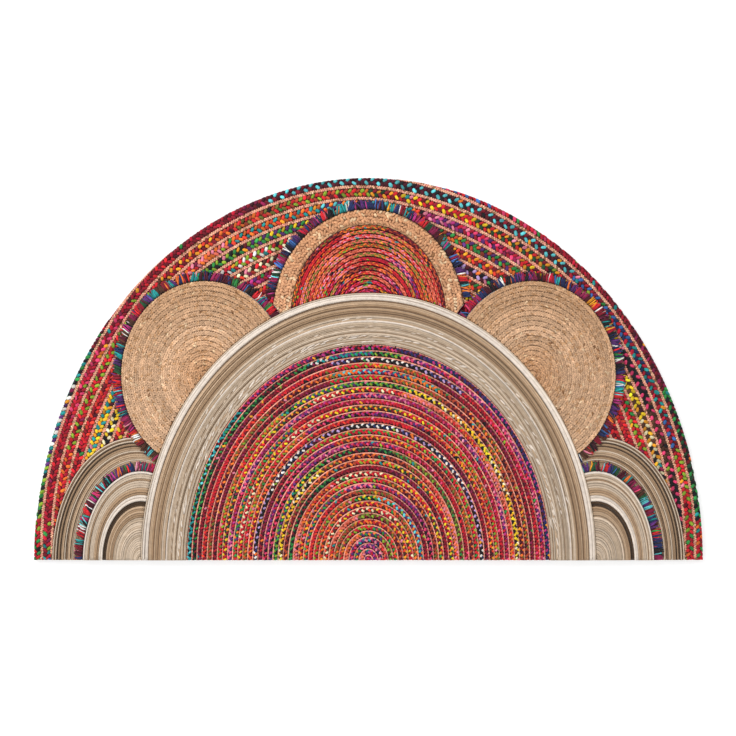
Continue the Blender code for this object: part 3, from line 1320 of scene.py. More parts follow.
# The field's rows from the outline inwards: what each is plaited from, from the right over the
# crown to the left
FIELD_CHART = [
    stretches(row)
    for row in (
        "6 GREEN_RED 27 GREEN_BLACK 47 DARK_CRIMSON 68 CRIMSON 92 BEADED_RED 146 DARK_CRIMSON "
        "174 GREEN_WHITE 180 GREEN_RED",
        "17 GREEN_RED 51 BLUE_RED 108 BEADED 126 DARK_CRIMSON 176 CRIMSON 180 BLUE_RED",
        "38 PINK_BLACK 90 YELLOW_RED 116 OLIVE_RED 132 ORANGE_RED 180 RED_LIME",
        "36 YELLOW_BLACK 60 YELLOW_RED 80 PINK_PLUM 117 ORANGE_TEAL 135 ORANGE_PINK 180 BRIGHT_RED",
        "40 GREEN_RED 85 PURPLE_GREEN 135 GREEN_YELLOW 180 YELLOW_TEAL",
        "40 BRIGHT_RED 85 ORANGE_RED 135 PINK_WHITE 180 YELLOW_BLACK",
        "45 BRIGHT_RED 90 NAVY_WHITE 180 RED_WHITE",
        "90 ORANGE_RED 180 PINK_PLUM",
        "90 YELLOW_TEAL 180 OLIVE_RED",
        "180 CRIMSON",
        "180 GREEN_YELLOW",
        "180 ORANGE_PINK",
        "180 DARK_CRIMSON",
    )
]
# Angles from the right, and how far in the outermost jute line lies from its oval there, in
# millimetres
ROW_DRIFT = (
    *((-4, 2), (2, 1.5), (10, -0.5), (20, 2.5), (40, 2.5), (50, 4), (62, 4.5), (70, 4)),
    *((80, 0.5), (88, -4), (94, -6), (100, -4), (110, -3.5), (122, -4.5), (132, -4)),
    *((138, -3), (145, 0.5), (152, 1.5), (160, 0), (170, -1), (178, 1.5), (184, 2)),
)
# Points on either side over which the drift is evened out
DRIFT_REACH = 25
FIELD_SHADE = 0.85
FIELD_PITCH = 10.7 * MM
FIELD_PLAIT = Plait(8.3 * MM, 4.3 * MM, 3.4 * MM, 43, 1.15, 0.69, 0.15)
FIELD_JUTE_PLAIT = Plait(2.8 * MM, 2.4 * MM, 2.0 * MM, 28, 1.3, 0.9)
FIELD_JUTE_TONES = named("PEACH PEACH_PINK JUTE_DARK")
# The strands on the mat's side: how high the lower and the upper ones lie, how much longer
# than their pitch they are, and their width and height
SIDE_HEIGHTS, SIDE_OVERLAP, SIDE_SIZE = (1.9 * MM, 4.3 * MM), 1.25, (1.8 * MM, 3.1 * MM)


@dataclass
class Field:
    """The outer field: wide rag plaits with a jute plait sewn between them.

    Attributes:
        panel: The panel it covers.
        strays: Share of the crossings in another colour.
        seed: Seed of its uneven plaits.
    """

    panel: Panel
    strays: float
    seed: int

    def row(self, step: float) -> Path:
        """The path a number of rows inside the outermost jute line.

        Args:
            step: The number of rows.

        Returns:
            The path, which strays from its oval as the outermost line does.
        """
        oval = replace(
            FIELD_LINE,
            across=FIELD_LINE.across - step * FIELD_PITCH,
            along=FIELD_LINE.along - step * FIELD_PITCH * FIELD_LINE.along / FIELD_LINE.across,
        )
        angles = np.degrees(np.linspace(-RING_OVERRUN, math.pi + RING_OVERRUN, RING_POINTS))
        drift = np.pad(np.interp(angles, *zip(*ROW_DRIFT)), DRIFT_REACH, "edge")
        span = 2 * DRIFT_REACH + 1
        return ring(oval, False, np.convolve(drift, np.ones(span), "valid") / span * MM)

    def build(self) -> None:
        """Makes the backing, the rag plaits and the jute plaits."""
        chance = np.random.default_rng(self.seed)
        region, crown = self.panel.region, self.panel.crown
        tones = tints(FIELD_JUTE_TONES)
        rag, jute = [], []
        for number, chart in enumerate(FIELD_CHART):
            row = FIELD_PLAIT.crossings(self.row(number - 0.5), crown, chance)
            spots = row.spots
            angle = MAT.angle_of(spots.places[:, :2])
            angle = np.where(angle > 270, angle - 360, angle)
            row.dyed(chart, angle, FIELD_RUNS, self.strays, chance)
            spots.colours[angle >= 180] = DYES[Dye.CRIMSON]
            rag.append(spots.picked(region.holds(spots.places[:, :2], 0.6 * MM)))
            spots = FIELD_JUTE_PLAIT.crossings(self.row(number), crown - 0.7 * MM, chance).spots
            spots.colours = tones[np.searchsorted((0.45, 0.88), chance.random(len(spots.places)))]
            jute.append(spots.picked(region.holds(spots.places[:, :2], SEAM)))
        rag.append(self.rim_side(chance))
        rag_spots, jute_spots = together(rag), together(jute)
        rag_spots.colours = jittered(rag_spots.colours * FIELD_SHADE, 0.25, chance)
        jute_spots.colours = jittered(jute_spots.colours, 0.16, chance)
        sheet = self.panel.backing_sheet()
        pieces = [
            repeated("field_plaits", FULL_BULGE, rag_spots, region, RAG),
            repeated("field_jute_plaits", JUTE_BULGE, jute_spots, region, JUTE),
        ]
        columns = []
        for number, chart in enumerate(FIELD_CHART[:2]):
            for side, mix in ((1, chart[0].mix), (-1, chart[-1].mix)):
                for strand in range(3):
                    x = side * (MAT.across - (number + (strand + 0.5) / 3) * FIELD_PITCH)
                    columns.append((x, FIELD_PITCH / 3, DYES[mix.dyes(strand)[0]]))
        ends = self.panel.cut_ends(columns, 2)
        pieces.append(repeated("field_ends", FULL_BULGE, ends, region, RAG))
        self.panel.sewn(sheet, pieces)

    def rim_side(self, chance: np.random.Generator) -> Spots:
        """The outermost plait's strands as they show on the mat's curved side.

        Args:
            chance: The field's random numbers.

        Returns:
            The strands' spots, coloured.
        """
        path = ring(MAT.grown(-0.9 * MM), False)
        pitch = FIELD_PLAIT.pitch
        number = np.arange(2 * int(path.length / pitch))
        along = (number + 0.5) * pitch / 2
        plan, headings = path.at(along)
        heights = np.where(number % 2 == 0, *SIDE_HEIGHTS)
        sizes = np.tile((pitch * SIDE_OVERLAP, *SIDE_SIZE), (len(number), 1))
        spots = Spots(raised(plan, heights), headings, sizes, np.ones((len(number), 3)))
        angle = MAT.angle_of(plan)
        angle = np.where(angle > 270, 0, np.minimum(angle, 179.9))
        row = Crossings(spots, along, number % 3)
        row.dyed(FIELD_CHART[0], angle, SIDE_RUN, self.strays, chance)
        return spots.picked(self.panel.region.holds(plan, 0.2 * MM))


# How much of red, green and blue an amber tone takes away
AMBER = np.array((0.25, 0.6, 1.0))
AMBER_RIM = np.array((0.35, 0.5, 0.7))


@dataclass
class JutePlaits:
    """A round or border of plaited jute.

    Attributes:
        panel: The panel it covers.
        rows: How many rows.
        inner: Where the innermost row starts, as a share of the radius.
        plait: The plait.
        tones: Its tones, from the commonest to the rarest.
        seed: Seed of its uneven plaits.
        shape: The shape of a crossing.
        inset: How far inside the panel's rim the rows end.
    """

    panel: Panel
    rows: int
    inner: float
    plait: Plait
    tones: tuple[Dye, ...]
    seed: int
    shape: Shape
    inset: float = 0.0

    def build(self) -> None:
        """Makes the backing and the plaits."""
        chance = np.random.default_rng(self.seed)
        rim, region = self.panel.rim.grown(-self.inset), self.panel.region
        tones = tints(self.tones)
        groups = []
        for number in range(self.rows):
            share = self.inner + (1 - self.inner) * (1 - (number + 0.5) / self.rows)
            path = ring(rim.scaled(share), True)
            row = self.plait.crossings(path, self.panel.crown, chance)
            plan = row.spots.places[:, :2]
            angle = rim.angle_of(plan)
            row.spots.sizes[:, 0] *= rim.spread(angle)
            pick = np.minimum(chance.exponential(0.55, len(plan)).astype(int), len(tones) - 1)
            # The yarn's tone drifts along the coil
            phase = row.along / (90 * MM) + chance.uniform(0, 6)
            drift = 0.07 * np.sin(phase) + chance.normal(0, 0.05)
            # The yarn is more amber in the coil's middle and round its upper rim
            upper = np.clip(share - 0.5, 0, 1) * np.clip(np.sin(np.radians(angle)) + 0.2, 0, 1)
            amber = max(0.0, 0.45 - share) * AMBER + upper[:, None] * AMBER_RIM
            row.spots.colours = tones[pick] * np.exp(drift[:, None] - amber)
            groups.append(row.spots.picked(region.holds(plan, 0.2 * MM)))
        spots = together(groups)
        spots.colours = jittered(spots.colours, 0.09, chance)
        sheet = self.panel.backing_sheet()
        name = f"{self.panel.node}_plaits"
        self.panel.sewn(sheet, [repeated(name, self.shape, spots, region, JUTE)])


@dataclass(frozen=True)
class Stripe:
    """A band of yarns laid side by side.

    Attributes:
        share: Its share of the panel's width, before the shares are added up.
        yarns: How many yarns it has.
        dyes: The names of the yarns' dyes.
        rise: How much higher its middle lies than its edges, in millimetres.
        drop: How far it lies below the panel's crown, in millimetres.
    """

    share: float
    yarns: int
    dyes: str
    rise: float = 0.3
    drop: float = 0.0


# A yarn sways, and its tone comes and goes, over these lengths, by these shares
YARN_WAVES = np.array((170, 75, 38)) * MM
YARN_SWAY = (0.35, 0.2, 0.12)
YARN_SHADES = (0.05, 0.05, 0.04)
# How much wider than its share a yarn is, so that neighbours press together, how thick it is
# as a share of its width, and the least thickness
YARN_PRESS, YARN_THICKNESS, YARN_LEAST = 1.22, 0.8, 1.6 * MM
WISP_STEP = 8 * MM
WISP_TONES = named("CORD_WHITE CORD_WHITE CORD_CREAM")
# Shortest and longest, narrowest and widest, and lowest and highest wisp, in millimetres
WISP_SIZES = ((6, 11), (1.0, 1.7), (1.0, 1.5))


@dataclass
class YarnBand:
    """A panel of cotton yarns that follow its rim.

    Attributes:
        panel: The panel it covers.
        inner: Its inner rim, or None for a whole round.
        stripes: Its stripes from the outer rim inwards.
        seed: Seed of its uneven yarns.
        wisps: Where wisps of loose yarn lie, as shares of the width, and how closely.
    """

    panel: Panel
    inner: Oval | None
    stripes: tuple[Stripe, ...]
    seed: int
    wisps: tuple[tuple[float, float], ...] = ()

    @property
    def core(self) -> Oval:
        """The inner rim, or a point in the middle of a whole round."""
        return self.inner or self.panel.rim.scaled(0)

    def between(self, share: float) -> Oval:
        """The oval at a share of the way from the outer rim to the inner one.

        Args:
            share: The share of the way.

        Returns:
            The oval.
        """
        outer, inner = self.panel.rim, self.core
        return Oval(
            outer.x + (inner.x - outer.x) * share,
            0,
            max(outer.across + (inner.across - outer.across) * share, 0.4 * MM),
            max(outer.along + (inner.along - outer.along) * share, 0.6 * MM),
        )

    def yarns(self, chance: np.random.Generator) -> tuple[list[Yarn], list[Column]]:
        """All yarns of the band's stripes, and where they are cut along the straight edge.

        Args:
            chance: The band's random numbers.

        Returns:
            The yarns and their cut ends.
        """
        total = sum(stripe.share for stripe in self.stripes)
        wide = self.panel.rim.across - self.core.across
        deep = self.panel.rim.along - self.core.along
        edge, yarns, columns = 0.0, [], []
        for stripe in self.stripes:
            dyes, lift = tints(named(stripe.dyes)), stripe.rise * MM
            for number in range(stripe.yarns):
                across = (number + 0.5) / stripe.yarns
                oval = self.between((edge + stripe.share * across) / total)
                width = stripe.share / total / stripe.yarns
                rise = lift * (1 - (2 * across - 1) ** 2) - lift - stripe.drop * MM
                dye = dyes[chance.integers(len(dyes))]
                columns += [(oval.x + side * oval.across, width * wide, dye) for side in (1, -1)]
                path = ring(oval, False)
                yarns += self.yarn(path, width * wide, width * deep, rise, dye, chance)
            edge += stripe.share
        return yarns, columns

    def yarn(
        self,
        path: Path,
        wide: float,
        deep: float,
        rise: float,
        dye: np.ndarray,
        chance: np.random.Generator,
    ) -> list[Yarn]:
        """One yarn, in as many lengths as show.

        Args:
            path: Its path.
            wide: Its width where it runs along Y.
            deep: Its width where it runs along X.
            rise: Its height over the panel's crown.
            dye: Its colour.
            chance: The band's random numbers.

        Returns:
            Its lengths.
        """
        phases = chance.uniform(0, 2 * math.pi, 3)
        tone = chance.normal(0, 0.07)
        yarns = []
        for along in split_between(path, self.panel.region, SEAM):
            plan, headings = path.at(along)
            swell = np.sin(along[:, None] / YARN_WAVES + phases)
            plan = plan + to_right(headings) * (swell @ YARN_SWAY * wide * 0.45)[:, None]
            width = np.hypot(wide * np.sin(headings), deep * np.cos(headings))
            size = width * (YARN_PRESS + 0.1 * swell[:, 1])
            crown = np.full(len(plan), self.panel.crown + rise)
            height = crown - size * 0.4 + swell[:, 0] * 0.08 * MM
            shade = np.exp(tone + swell @ YARN_SHADES)
            colours = np.clip(dye[None] * shade[:, None], 0, 1)
            thick = np.maximum(size * YARN_THICKNESS, YARN_LEAST)
            yarns.append(Yarn(raised(plan, height), size, thick, colours))
        return yarns

    def wisp_spots(self, chance: np.random.Generator) -> Spots:
        """The wisps of loose pale yarn on the band's rows.

        Args:
            chance: The band's random numbers.

        Returns:
            The wisps' spots.
        """
        groups = []
        for share, many in self.wisps:
            path = ring(self.between(share), False)
            along = np.arange(0, path.length, WISP_STEP)
            # The closer the wisps follow on each other, the more evenly they lie
            stray = 1.15 - many
            along = along + chance.normal(0, WISP_STEP * 0.25 * stray, len(along))
            along = along[chance.random(len(along)) < many]
            plan, headings = path.at(along)
            count = len(along)
            plan = plan + to_right(headings) * chance.normal(0, 0.9 * MM * stray, (count, 1))
            sizes = np.stack([chance.uniform(*span, count) * MM for span in WISP_SIZES], axis=-1)
            places = raised(plan, self.panel.crown - 0.2 * MM - 0.45 * sizes[:, 2])
            turns = headings + chance.normal(0.16, 0.07, count)
            colours = tints(WISP_TONES)[chance.integers(0, 3, count)]
            groups.append(Spots(places, turns, sizes, jittered(colours, 0.06, chance)))
        spots = together(groups)
        return spots.picked(self.panel.region.holds(spots.places[:, :2], -2 * MM))

    def build(self) -> None:
        """Makes the backing, the yarns and the wisps."""
        chance = np.random.default_rng(self.seed)
        node, region = self.panel.node, self.panel.region
        sheet = self.panel.backing_sheet()
        yarns, columns = self.yarns(chance)
        ends = self.panel.cut_ends(columns, 4)
        pieces = [
            swept(f"{node}_yarns", yarns, 6, region, COTTON),
            repeated(f"{node}_ends", FINE_BULGE, ends, region, COTTON),
        ]
        if self.wisps:
            wisps = self.wisp_spots(chance)
            pieces.append(repeated(f"{node}_wisps", FULL_BULGE, wisps, region, COTTON))
        self.panel.sewn(sheet, pieces)


BUNCH_WIDTH = 6.5 * MM
# Pitch, height and reach of a fringe's layers of locks
FRINGE_LAYERS = (
    (1.7 * MM, 8.8 * MM, FRINGE_REACH),
    (1.9 * MM, 9.6 * MM, FRINGE_REACH * 0.94),
)
# The share of the locks that are narrow and in their bunch's brighter rag, and how narrow they are
THIN_SHARE, THIN_WIDTH = 0.42, 0.7
FRINGE_DEEP = named(
    "MAROON PURPLE NAVY DARK_RED BLACK WINE PURPLE NAVY MAROON DARK_GREEN CRIMSON BLACK TEAL WINE "
    "MAROON RED NAVY BROWN"
)
FRINGE_BRIGHT = named(
    "MAGENTA CRIMSON PURPLE BLACK WHITE TEAL HOT_PINK RED MAROON ORANGE BLUE WHITE WINE PINK "
    "TURQUOISE MAGENTA NAVY AMBER GREEN"
)


@dataclass
class Fringe:
    """Short rag ends sewn round a raised panel, lying on the panels outside it.

    Attributes:
        node: The solid that it stands for.
        oval: The rim that it is sewn to.
        whole: Whether the rim runs all round.
        region: Where it may lie.
        seed: Seed of its uneven locks.
    """

    node: str
    oval: Oval
    whole: bool
    region: Region
    seed: int

    def layer(
        self, pitch: float, height: float, reach: float, chance: np.random.Generator
    ) -> Spots:
        """One layer of locks.

        Args:
            pitch: From lock to lock.
            height: Height of the locks' middle.
            reach: How far the locks reach from the rim.
            chance: The fringe's random numbers.

        Returns:
            The locks' spots.
        """
        path = ring(self.oval, self.whole)
        count = int(path.length / pitch)
        along = (np.arange(count) + 0.5) * path.length / count
        along = along + chance.normal(0, pitch * 0.2, count)
        plan, headings = path.at(along)
        # Locks of one bunch are torn from the same two rags and lean the same way
        bunch = (along / BUNCH_WIDTH + 0.3 * np.sin(along / (19 * MM))).astype(int)
        bunch -= bunch.min()
        bunches = bunch.max() + 1
        which = np.random.default_rng(self.seed)
        main, accent = (
            tints(dyes)[which.integers(0, len(dyes), bunches)][bunch]
            for dyes in (FRINGE_DEEP, FRINGE_BRIGHT)
        )
        lean = which.normal(0, 0.2, bunches)[bunch] + chance.normal(0, 0.1, count)
        places = raised(plan, height + chance.normal(0, 0.15 * MM, count))
        thin = chance.random(count) < THIN_SHARE
        lengths = reach * chance.uniform(0.8, 1.04, count)
        widths = pitch * chance.normal(0.95, 0.15, count) * np.where(thin, THIN_WIDTH, 1)
        sizes = np.stack((lengths, widths, chance.normal(0.95, 0.1, count) * MM), axis=-1)
        colours = np.where(thin[:, None], accent, main)
        bends = chance.normal(0, 0.12, count)
        dips = chance.uniform(0.1, 0.7, count) * MM
        return Spots(places, headings - math.pi / 2 + lean, sizes, colours, bends, dips)

    def build(self) -> None:
        """Makes the locks, in two layers."""
        chance = np.random.default_rng(self.seed + 100)
        spots = together([self.layer(*layer, chance) for layer in FRINGE_LAYERS])
        roots = spots.places[:, :2]
        outwards = np.stack((np.cos(spots.headings), np.sin(spots.headings)), axis=-1)
        tips = roots + 0.7 * FRINGE_REACH * outwards
        spots = spots.picked(
            self.region.holds(tips, -0.5 * MM) & self.region.holds(roots, 1 * MM)
        )
        spots.colours = jittered(spots.colours, 0.22, chance)
        piece = repeated(f"{self.node}_locks", rag_lock(), spots, self.region, RAG)
        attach(piece, "root")
        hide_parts(self.node)
        log.info("%s: %d locks", self.node, len(spots.places))


@dataclass(frozen=True)
class Paper(Finish):
    """Matt paper with a glow of its own.

    Attributes:
        grey: Its brightness.
        glow: The strength of its glow.
    """

    grey: float
    glow: float

    def shading(self, tree: bpy.types.NodeTree) -> dict[object, object]:
        """An even grey and a white glow.

        Args:
            tree: The material's node tree.

        Returns:
            Values for the shader's inputs.
        """
        return {
            "Base Color": (self.grey, self.grey, self.grey, 1),
            "Roughness": 0.9,
            "Specular IOR Level": 0.1,
            "Emission Color": (1, 1, 1, 1),
            "Emission Strength": self.glow,
        }


# White studio paper, lit from below too, so that it shows pure white with a faint shadow
SWEEP_PAPER = Paper("matt_white_paper", 0.45, 0.66)


@dataclass
class Studio:
    """The pale floor, the soft lights and the camera straight above the mat.

    Attributes:
        view_width: Width of the view on the mat.
        middle: The point of the mat in the middle of the view.
        lens: The camera's focal length in millimetres.
        sensor: The width of its film in millimetres.
        flat: How far the floor reaches before it curves up.
        curve: Radius of the curve.
        wall: Height of the wall.
        surround: Strength of the white surround.
        watts: Power of the soft light.
        lamp_place: Where the soft light hangs.
        lamp_size: The soft light's width.
    """

    view_width: float = 0.7735
    middle: tuple[float, float] = (-0.0005, 0.001)
    lens: float = 85.0
    sensor: float = 36.0
    flat: float = 2.6
    curve: float = 1.2
    wall: float = 3.4
    surround: float = 0.56
    watts: float = 30
    lamp_place: tuple[float, float, float] = (-1.0, 1.1, 1.5)
    lamp_size: float = 1.2

    def build(self) -> None:
        """Makes the floor, the lights, the world and the camera."""
        self.floor()
        self.lights()
        self.camera()
        view = bpy.context.scene.view_settings
        view.view_transform = "Standard"
        view.look = "None"

    def floor(self) -> None:
        """A white floor that curves up into a wall all round."""
        shape = bmesh.new()
        turns = [math.radians(angle) for angle in range(0, 91, 10)]
        bend = [
            (self.flat + self.curve * math.sin(turn), self.curve * (1 - math.cos(turn)))
            for turn in turns
        ]
        profile = [(0.0, 0.0), *bend, (self.flat + self.curve, self.wall)]
        corners = [shape.verts.new((across, 0, up)) for across, up in profile]
        edges = [shape.edges.new(pair) for pair in zip(corners, corners[1:])]
        whole_turn = {"cent": (0, 0, 0), "axis": (0, 0, 1), "angle": 2 * math.pi, "steps": 96}
        bmesh.ops.spin(shape, geom=corners + edges, use_merge=True, **whole_turn)
        bmesh.ops.remove_doubles(shape, verts=shape.verts, dist=MERGE)
        bmesh.ops.recalc_face_normals(shape, faces=shape.faces)
        middle = min(shape.faces, key=lambda face: face.calc_center_median().length)
        if middle.normal.z < 0:
            bmesh.ops.reverse_faces(shape, faces=shape.faces)
        mesh = bpy.data.meshes.new("studio_sweep")
        shape.to_mesh(mesh)
        shape.free()
        mesh.polygons.foreach_set("use_smooth", [True] * len(mesh.polygons))
        mesh.materials.append(SWEEP_PAPER.material())
        placed("studio_sweep", mesh)

    def lights(self) -> None:
        """A white surround and one large soft light from the upper left."""
        world = bpy.data.worlds.new("white_studio")
        world.use_nodes = True
        light = {"Color": (1, 1, 1, 1), "Strength": self.surround}
        wired(world.node_tree, world.node_tree.nodes["Background"], light)
        bpy.context.scene.world = world
        lamp = bpy.data.lights.new("softbox", "AREA")
        lamp.shape = "SQUARE"
        lamp.size = self.lamp_size
        lamp.energy = self.watts
        softbox = placed("softbox", lamp)
        softbox.location = self.lamp_place
        # A light shines along its own -Z, which is turned to the mat
        softbox.rotation_euler = (-softbox.location).to_track_quat("-Z", "Y").to_euler()

    def camera(self) -> None:
        """The camera, looking straight down with +Y up in the view."""
        data = bpy.data.cameras.new("camera_above")
        data.lens = self.lens
        data.sensor_width = self.sensor
        camera = placed("camera_above", data)
        camera.location = (*self.middle, self.view_width * self.lens / self.sensor)
        bpy.context.scene.camera = camera


CENTRE_BAND_STRIPES = (
    Stripe(1.3, 1, "CORD_CREAM", 0, 0.5),
    Stripe(2.2, 1, "CORD_WHITE", 0, 0.2),
    Stripe(3.6, 1, "CORD_WHITE", 0),
    Stripe(1.0, 1, "CORD_TAUPE", 0, 0.9),
    Stripe(4.6, 3, "CORD_TAN CORD_BEIGE", 0.5),
    Stripe(1.3, 1, "CORD_TAUPE", 0, 0.8),
    Stripe(4.0, 3, "CORD_TAN CORD_BEIGE", 0.5),
    Stripe(1.0, 1, "CORD_TAUPE", 0, 0.8),
    Stripe(2.6, 2, "CORD_BEIGE CORD_TAN"),
    Stripe(1.5, 1, "CORD_CREAM", 0),
    Stripe(2.8, 2, "CORD_GREY CORD_BEIGE", 0.3, 0.3),
    Stripe(1.5, 1, "CORD_WHITE", 0),
    Stripe(4.6, 4, "CORD_GREY CORD_CREAM", 0.4),
    Stripe(0.9, 1, "CORD_TAN", 0, 0.8),
    Stripe(3.4, 3, "CORD_CREAM CORD_GREY"),
    Stripe(0.9, 1, "CORD_TAN", 0, 0.8),
    Stripe(2.2, 1, "CORD_CREAM", 0.3, 0.2),
    Stripe(3.4, 3, "CORD_BEIGE CORD_GREY", 0.1, 0.8),
    Stripe(1.4, 1, "CORD_CREAM", 0, 0.2),
    Stripe(1.0, 1, "CORD_TAN", 0, 0.8),
    Stripe(2.6, 2, "CORD_GREY CORD_CREAM", 0.3, 0.4),
)
# Where whitish wisps of loose yarn lie along the band's inner rows, as shares of its width, and
# how closely they follow on each other, as shares of a full row
CENTRE_WISPS = (
    (0.50, 0.25), (0.58, 0.3), (0.67, 0.5), (0.73, 0.35), (0.835, 0.8), (0.86, 0.6), (0.95, 0.5)
)

CORNER_BAND_STRIPES = (
    Stripe(1.2, 1, "CORD_CREAM"),
    Stripe(1.2, 1, "CORD_TAUPE", 0, 0.4),
    Stripe(1.0, 1, "CORD_CREAM"),
    Stripe(1.2, 1, "CORD_DARK", 0, 0.5),
    Stripe(1.6, 1, "CORD_TAN"),
    Stripe(1.0, 1, "CORD_DARK", 0, 0.6),
    Stripe(2.8, 2, "CORD_TAN CORD_BEIGE"),
    Stripe(1.2, 1, "CORD_CREAM"),
    Stripe(5.5, 4, "CORD_TAN CORD_BEIGE CORD_TAUPE", 0.4),
    Stripe(1.2, 1, "CORD_CREAM"),
    Stripe(8.5, 6, "CORD_BEIGE CORD_TAN", 0.4),
)

CORNER_ROUND_STRIPES = (
    Stripe(1.6, 1, "CORD_WHITE", 0.2),
    Stripe(3.2, 2, "CORD_GREY CORD_CREAM"),
    Stripe(1.3, 1, "CORD_TAN", 0, 0.4),
    Stripe(4.6, 3, "CORD_CREAM", 0.5),
    Stripe(1.8, 1, "CORD_BEIGE", 0, 0.2),
    Stripe(3.0, 2, "CORD_BEIGE CORD_TAN", 0.4),
    Stripe(4.2, 2, "CORD_WHITE", 0.5),
    # A dark cord sunk in a groove: its dark colour is partly the cord's own and partly painted
    # shade in the groove
    Stripe(3.6, 2, "CORD_DARK", 0, 2.0),
    Stripe(7.0, 5, "CORD_TAN CORD_BEIGE", 0.3, 0.6),
    Stripe(28.0, 20, "CORD_CREAM CORD_GREY", 0.1),
)


def chart(table: str) -> tuple[tuple[Mix, ...], ...]:
    """The mixes that each line of a table names."""
    return tuple(tuple(Mix[name] for name in row.split()) for row in table.strip().splitlines())


# What each row is plaited from on the right, the crown and the left, from the rim inwards
CENTRE_CHART = chart("""
    NAVY_PURPLE PINK_NIGHT TEAL_BLACK
    PINK_PLUM GREEN_WHITE GREEN_BLACK
    CRIMSON NAVY_WHITE DARK_CRIMSON
    DARK_CRIMSON OLIVE_RED BRIGHT_RED
    RUST ORANGE_TEAL RUST
    RUST GREEN_RED DARK_CRIMSON
    YELLOW_BLACK GREEN_YELLOW OLIVE_RED
    ORANGE_PINK RED_WHITE YELLOW_RED
    PINK_PLUM PINK_PLUM PINK_PLUM
    CRIMSON CRIMSON PURPLE_GREEN
    OLIVE_RED YELLOW_RED RED_WHITE
    ORANGE_RED PINK_NIGHT OLIVE_RED
    DARK_CRIMSON BRIGHT_RED ORANGE_RED
    NAVY_WHITE NAVY_WHITE NAVY_WHITE
    GREEN_RED GREEN_RED DARK_CRIMSON
    RUST ORANGE_RED PINK_NIGHT
    CRIMSON PINK_PLUM PINK_NIGHT
    OLIVE_GREEN GREEN_BLACK GREEN_YELLOW
    ORANGE_PINK RUST YELLOW_BLACK
    YELLOW_RED OLIVE_RED RUST
    DARK_CRIMSON DARK_CRIMSON GREEN_BLACK
    YELLOW_RED RED_WHITE ORANGE_PINK
    RUST OLIVE_RED ORANGE_RED
    PINK_NIGHT PINK_PLUM PURPLE_GREEN
    DARK_CRIMSON RUST BRIGHT_RED
    ORANGE_TEAL GREEN_YELLOW OLIVE_RED
    RUST ORANGE_RED ORANGE_RED
    RED_WHITE RED_WHITE RED_WHITE
    ORANGE_RED OLIVE_GREEN ORANGE_PINK
    RUST ORANGE_RED RUST
    PURPLE_GREEN GREEN_RED OLIVE_RED
    OLIVE_GREEN PURPLE_GREEN ORANGE_PINK
    ORANGE_PINK PLUM_TEAL PINK_PLUM
    PLUM_TEAL PINK_PLUM PURPLE_GREEN
    PINK_PLUM PLUM_TEAL ORANGE_PINK
    PINK_PLUM PINK_PLUM PINK_PLUM
""")
TOP_CHART = chart("""
    RUST RUST RUST
    ORANGE_PINK SALMON_MOSS BRIGHT_RED
    SALMON_MOSS ORANGE_PINK ORANGE_PINK
    ORANGE_PINK SALMON_MOSS SALMON_MOSS
    SALMON_MOSS OLIVE_RED ORANGE_PINK
    ORANGE_PINK ORANGE_PINK SALMON_MOSS
    PINK_PLUM SALMON_MOSS ORANGE_PINK
    SALMON_MOSS CRIMSON ORANGE_PINK
    BRIGHT_RED ORANGE_PINK CRIMSON
    ORANGE_PINK RUST SALMON_MOSS
    PINK_PLUM ORANGE_PINK PINK_PLUM
    RUST SALMON_MOSS ORANGE_RED
    CRIMSON OLIVE_RED CRIMSON
    ORANGE_RED ORANGE_PINK RUST
    PINK_PLUM PINK_PLUM PINK_PLUM
""")
BORDER_PLAIT = Plait(6.4 * MM, 3.3 * MM, 3.0 * MM, 48, 1.5, 0.78, 0.33)
BORDER_TONES = named("JUTE_PEACH JUTE_PALE JUTE_GOLD JUTE_DARK")
JUTE_ROUND_PLAIT = Plait(4.55 * MM, 2.6 * MM, 1.9 * MM, 28, 1.2, 1.0, 0.11)
JUTE_ROUND_TONES = named("JUTE_GOLD JUTE_DEEP JUTE_PALE JUTE_DARK")
Part = RagRound | Field | JutePlaits | YarnBand | Fringe


def side_parts(side: Side) -> list[Part]:
    """The jute round, the corner round and the corner band of one side, and their fringes.

    Args:
        side: The side of the mat.

    Returns:
        Its sub-assemblies, in the order in which they are laid.
    """
    name, step = side.name.lower(), side.value
    jute, band, corner = (oval.mirrored(side) for oval in (JUTE_ROUND, CORNER_BAND, CORNER_ROUND))
    covers = (CENTRE_BAND, jute.grown(SEAM + FRINGE_REACH))
    jute_region = Region((jute,), (CENTRE_BAND,))
    round_region = Region((corner,), covers)
    band_region = Region((band,), (corner, jute, CENTRE_BAND))
    jute_panel = Panel(
        f"jute_round_{name}", "jute", jute_region, 10.5 * MM, 100 * MM, JUTE_BACKING, 1.1 * MM
    )
    corner_name = f"corner_round_{name}"
    round_panel = Panel(
        corner_name, "pale_cord", round_region, 10.5 * MM, 60 * MM, CORD_BACKING, 3.2 * MM
    )
    band_panel = Panel(
        f"corner_band_{name}", "taupe_cord", band_region, 8 * MM, 28 * MM, CORD_BACKING
    )
    jute_cover = Region((MAT,), (CENTRE_BAND, jute))
    round_cover = Region((MAT,), (corner, *covers))
    return [
        JutePlaits(jute_panel, 19, 0, JUTE_ROUND_PLAIT, JUTE_ROUND_TONES, 23 + step, JUTE_BULGE),
        Fringe(f"jute_fringe_{name}", jute.grown(SEAM), True, jute_cover, 29 + step),
        YarnBand(round_panel, None, CORNER_ROUND_STRIPES, 37 + step),
        Fringe(f"corner_fringe_{name}", corner.grown(SEAM), False, round_cover, 41 + step),
        YarnBand(band_panel, corner, CORNER_BAND_STRIPES, 47 + step),
    ]


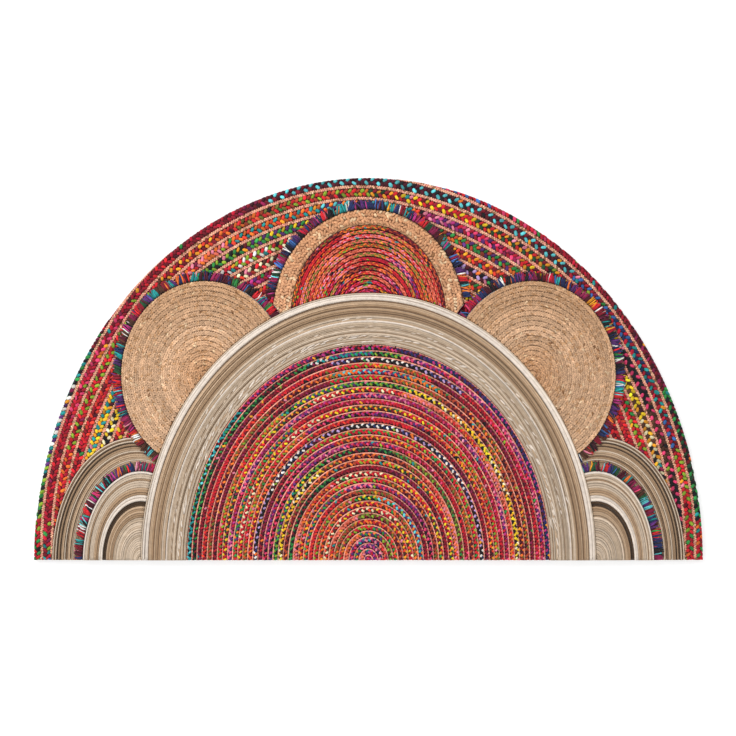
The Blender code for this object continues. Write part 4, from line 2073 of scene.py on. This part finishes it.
def panels() -> list[Part]:
    """Every sub-assembly of the mat, in the order in which it is laid.

    Returns:
        The sub-assemblies.
    """
    jute = [JUTE_ROUND.mirrored(side) for side in Side]
    reach = [oval.grown(SEAM + FRINGE_REACH) for oval in jute]
    bands = [CORNER_BAND.mirrored(side) for side in Side]
    field_region = Region((MAT,), (CENTRE_BAND, TOP_BORDER, *jute, *bands))
    centre_region, band_region = Region((CENTRE_ROUND,)), Region((CENTRE_BAND,), (CENTRE_ROUND,))
    top_region = Region((TOP_ROUND,), (CENTRE_BAND,))
    border_region = Region((TOP_BORDER,), (TOP_ROUND, CENTRE_BAND, *reach))
    fringe_region = Region((MAT,), (CENTRE_BAND, TOP_BORDER, *reach))
    return [
        Field(
            Panel("field", "field_rag", field_region, 8 * MM, FIELD_PITCH * 8, RED_BACKING),
            strays=0.07,
            seed=5,
        ),
        RagRound(
            Panel("centre_round", "centre_rag", centre_region, 10.5 * MM, 200 * MM, RED_BACKING),
            rows=36,
            whole=False,
            plait_share=0.8,
            pitch=3.5 * MM,
            slant=45,
            cover=0.94,
            plump=1.2,
            strays=0.05,
            line_dye=Dye.PEACH_PINK,
            chart=CENTRE_CHART,
            seed=7,
        ),
        YarnBand(
            Panel("centre_band", "pale_cord", band_region, 11.5 * MM, 50 * MM, CORD_BACKING),
            CENTRE_ROUND,
            CENTRE_BAND_STRIPES,
            seed=13,
            wisps=CENTRE_WISPS,
        ),
        RagRound(
            Panel("top_round", "top_rag", top_region, 10 * MM, 100 * MM, RED_BACKING),
            rows=20,
            whole=True,
            plait_share=0.88,
            pitch=2.7 * MM,
            slant=10,
            cover=1.3,
            plump=0.8,
            strays=0.04,
            line_dye=Dye.MAROON,
            chart=TOP_CHART,
            seed=9,
        ),
        JutePlaits(
            Panel("top_border", "jute_border", border_region, 10.5 * MM, 20 * MM, JUTE_BACKING),
            rows=3,
            inner=0.81,
            plait=BORDER_PLAIT,
            tones=BORDER_TONES,
            seed=17,
            shape=SOFT_BULGE,
            inset=0.6 * MM,
        ),
        Fringe("top_fringe", TOP_BORDER.grown(SEAM), True, fringe_region, 19),
        *side_parts(Side.LEFT),
        *side_parts(Side.RIGHT),
    ]


def main() -> None:
    logging.basicConfig(level=logging.INFO, format="%(message)s")
    for part in panels():
        part.build()
    Studio().build()
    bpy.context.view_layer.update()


if __name__ == "__main__":
    main()
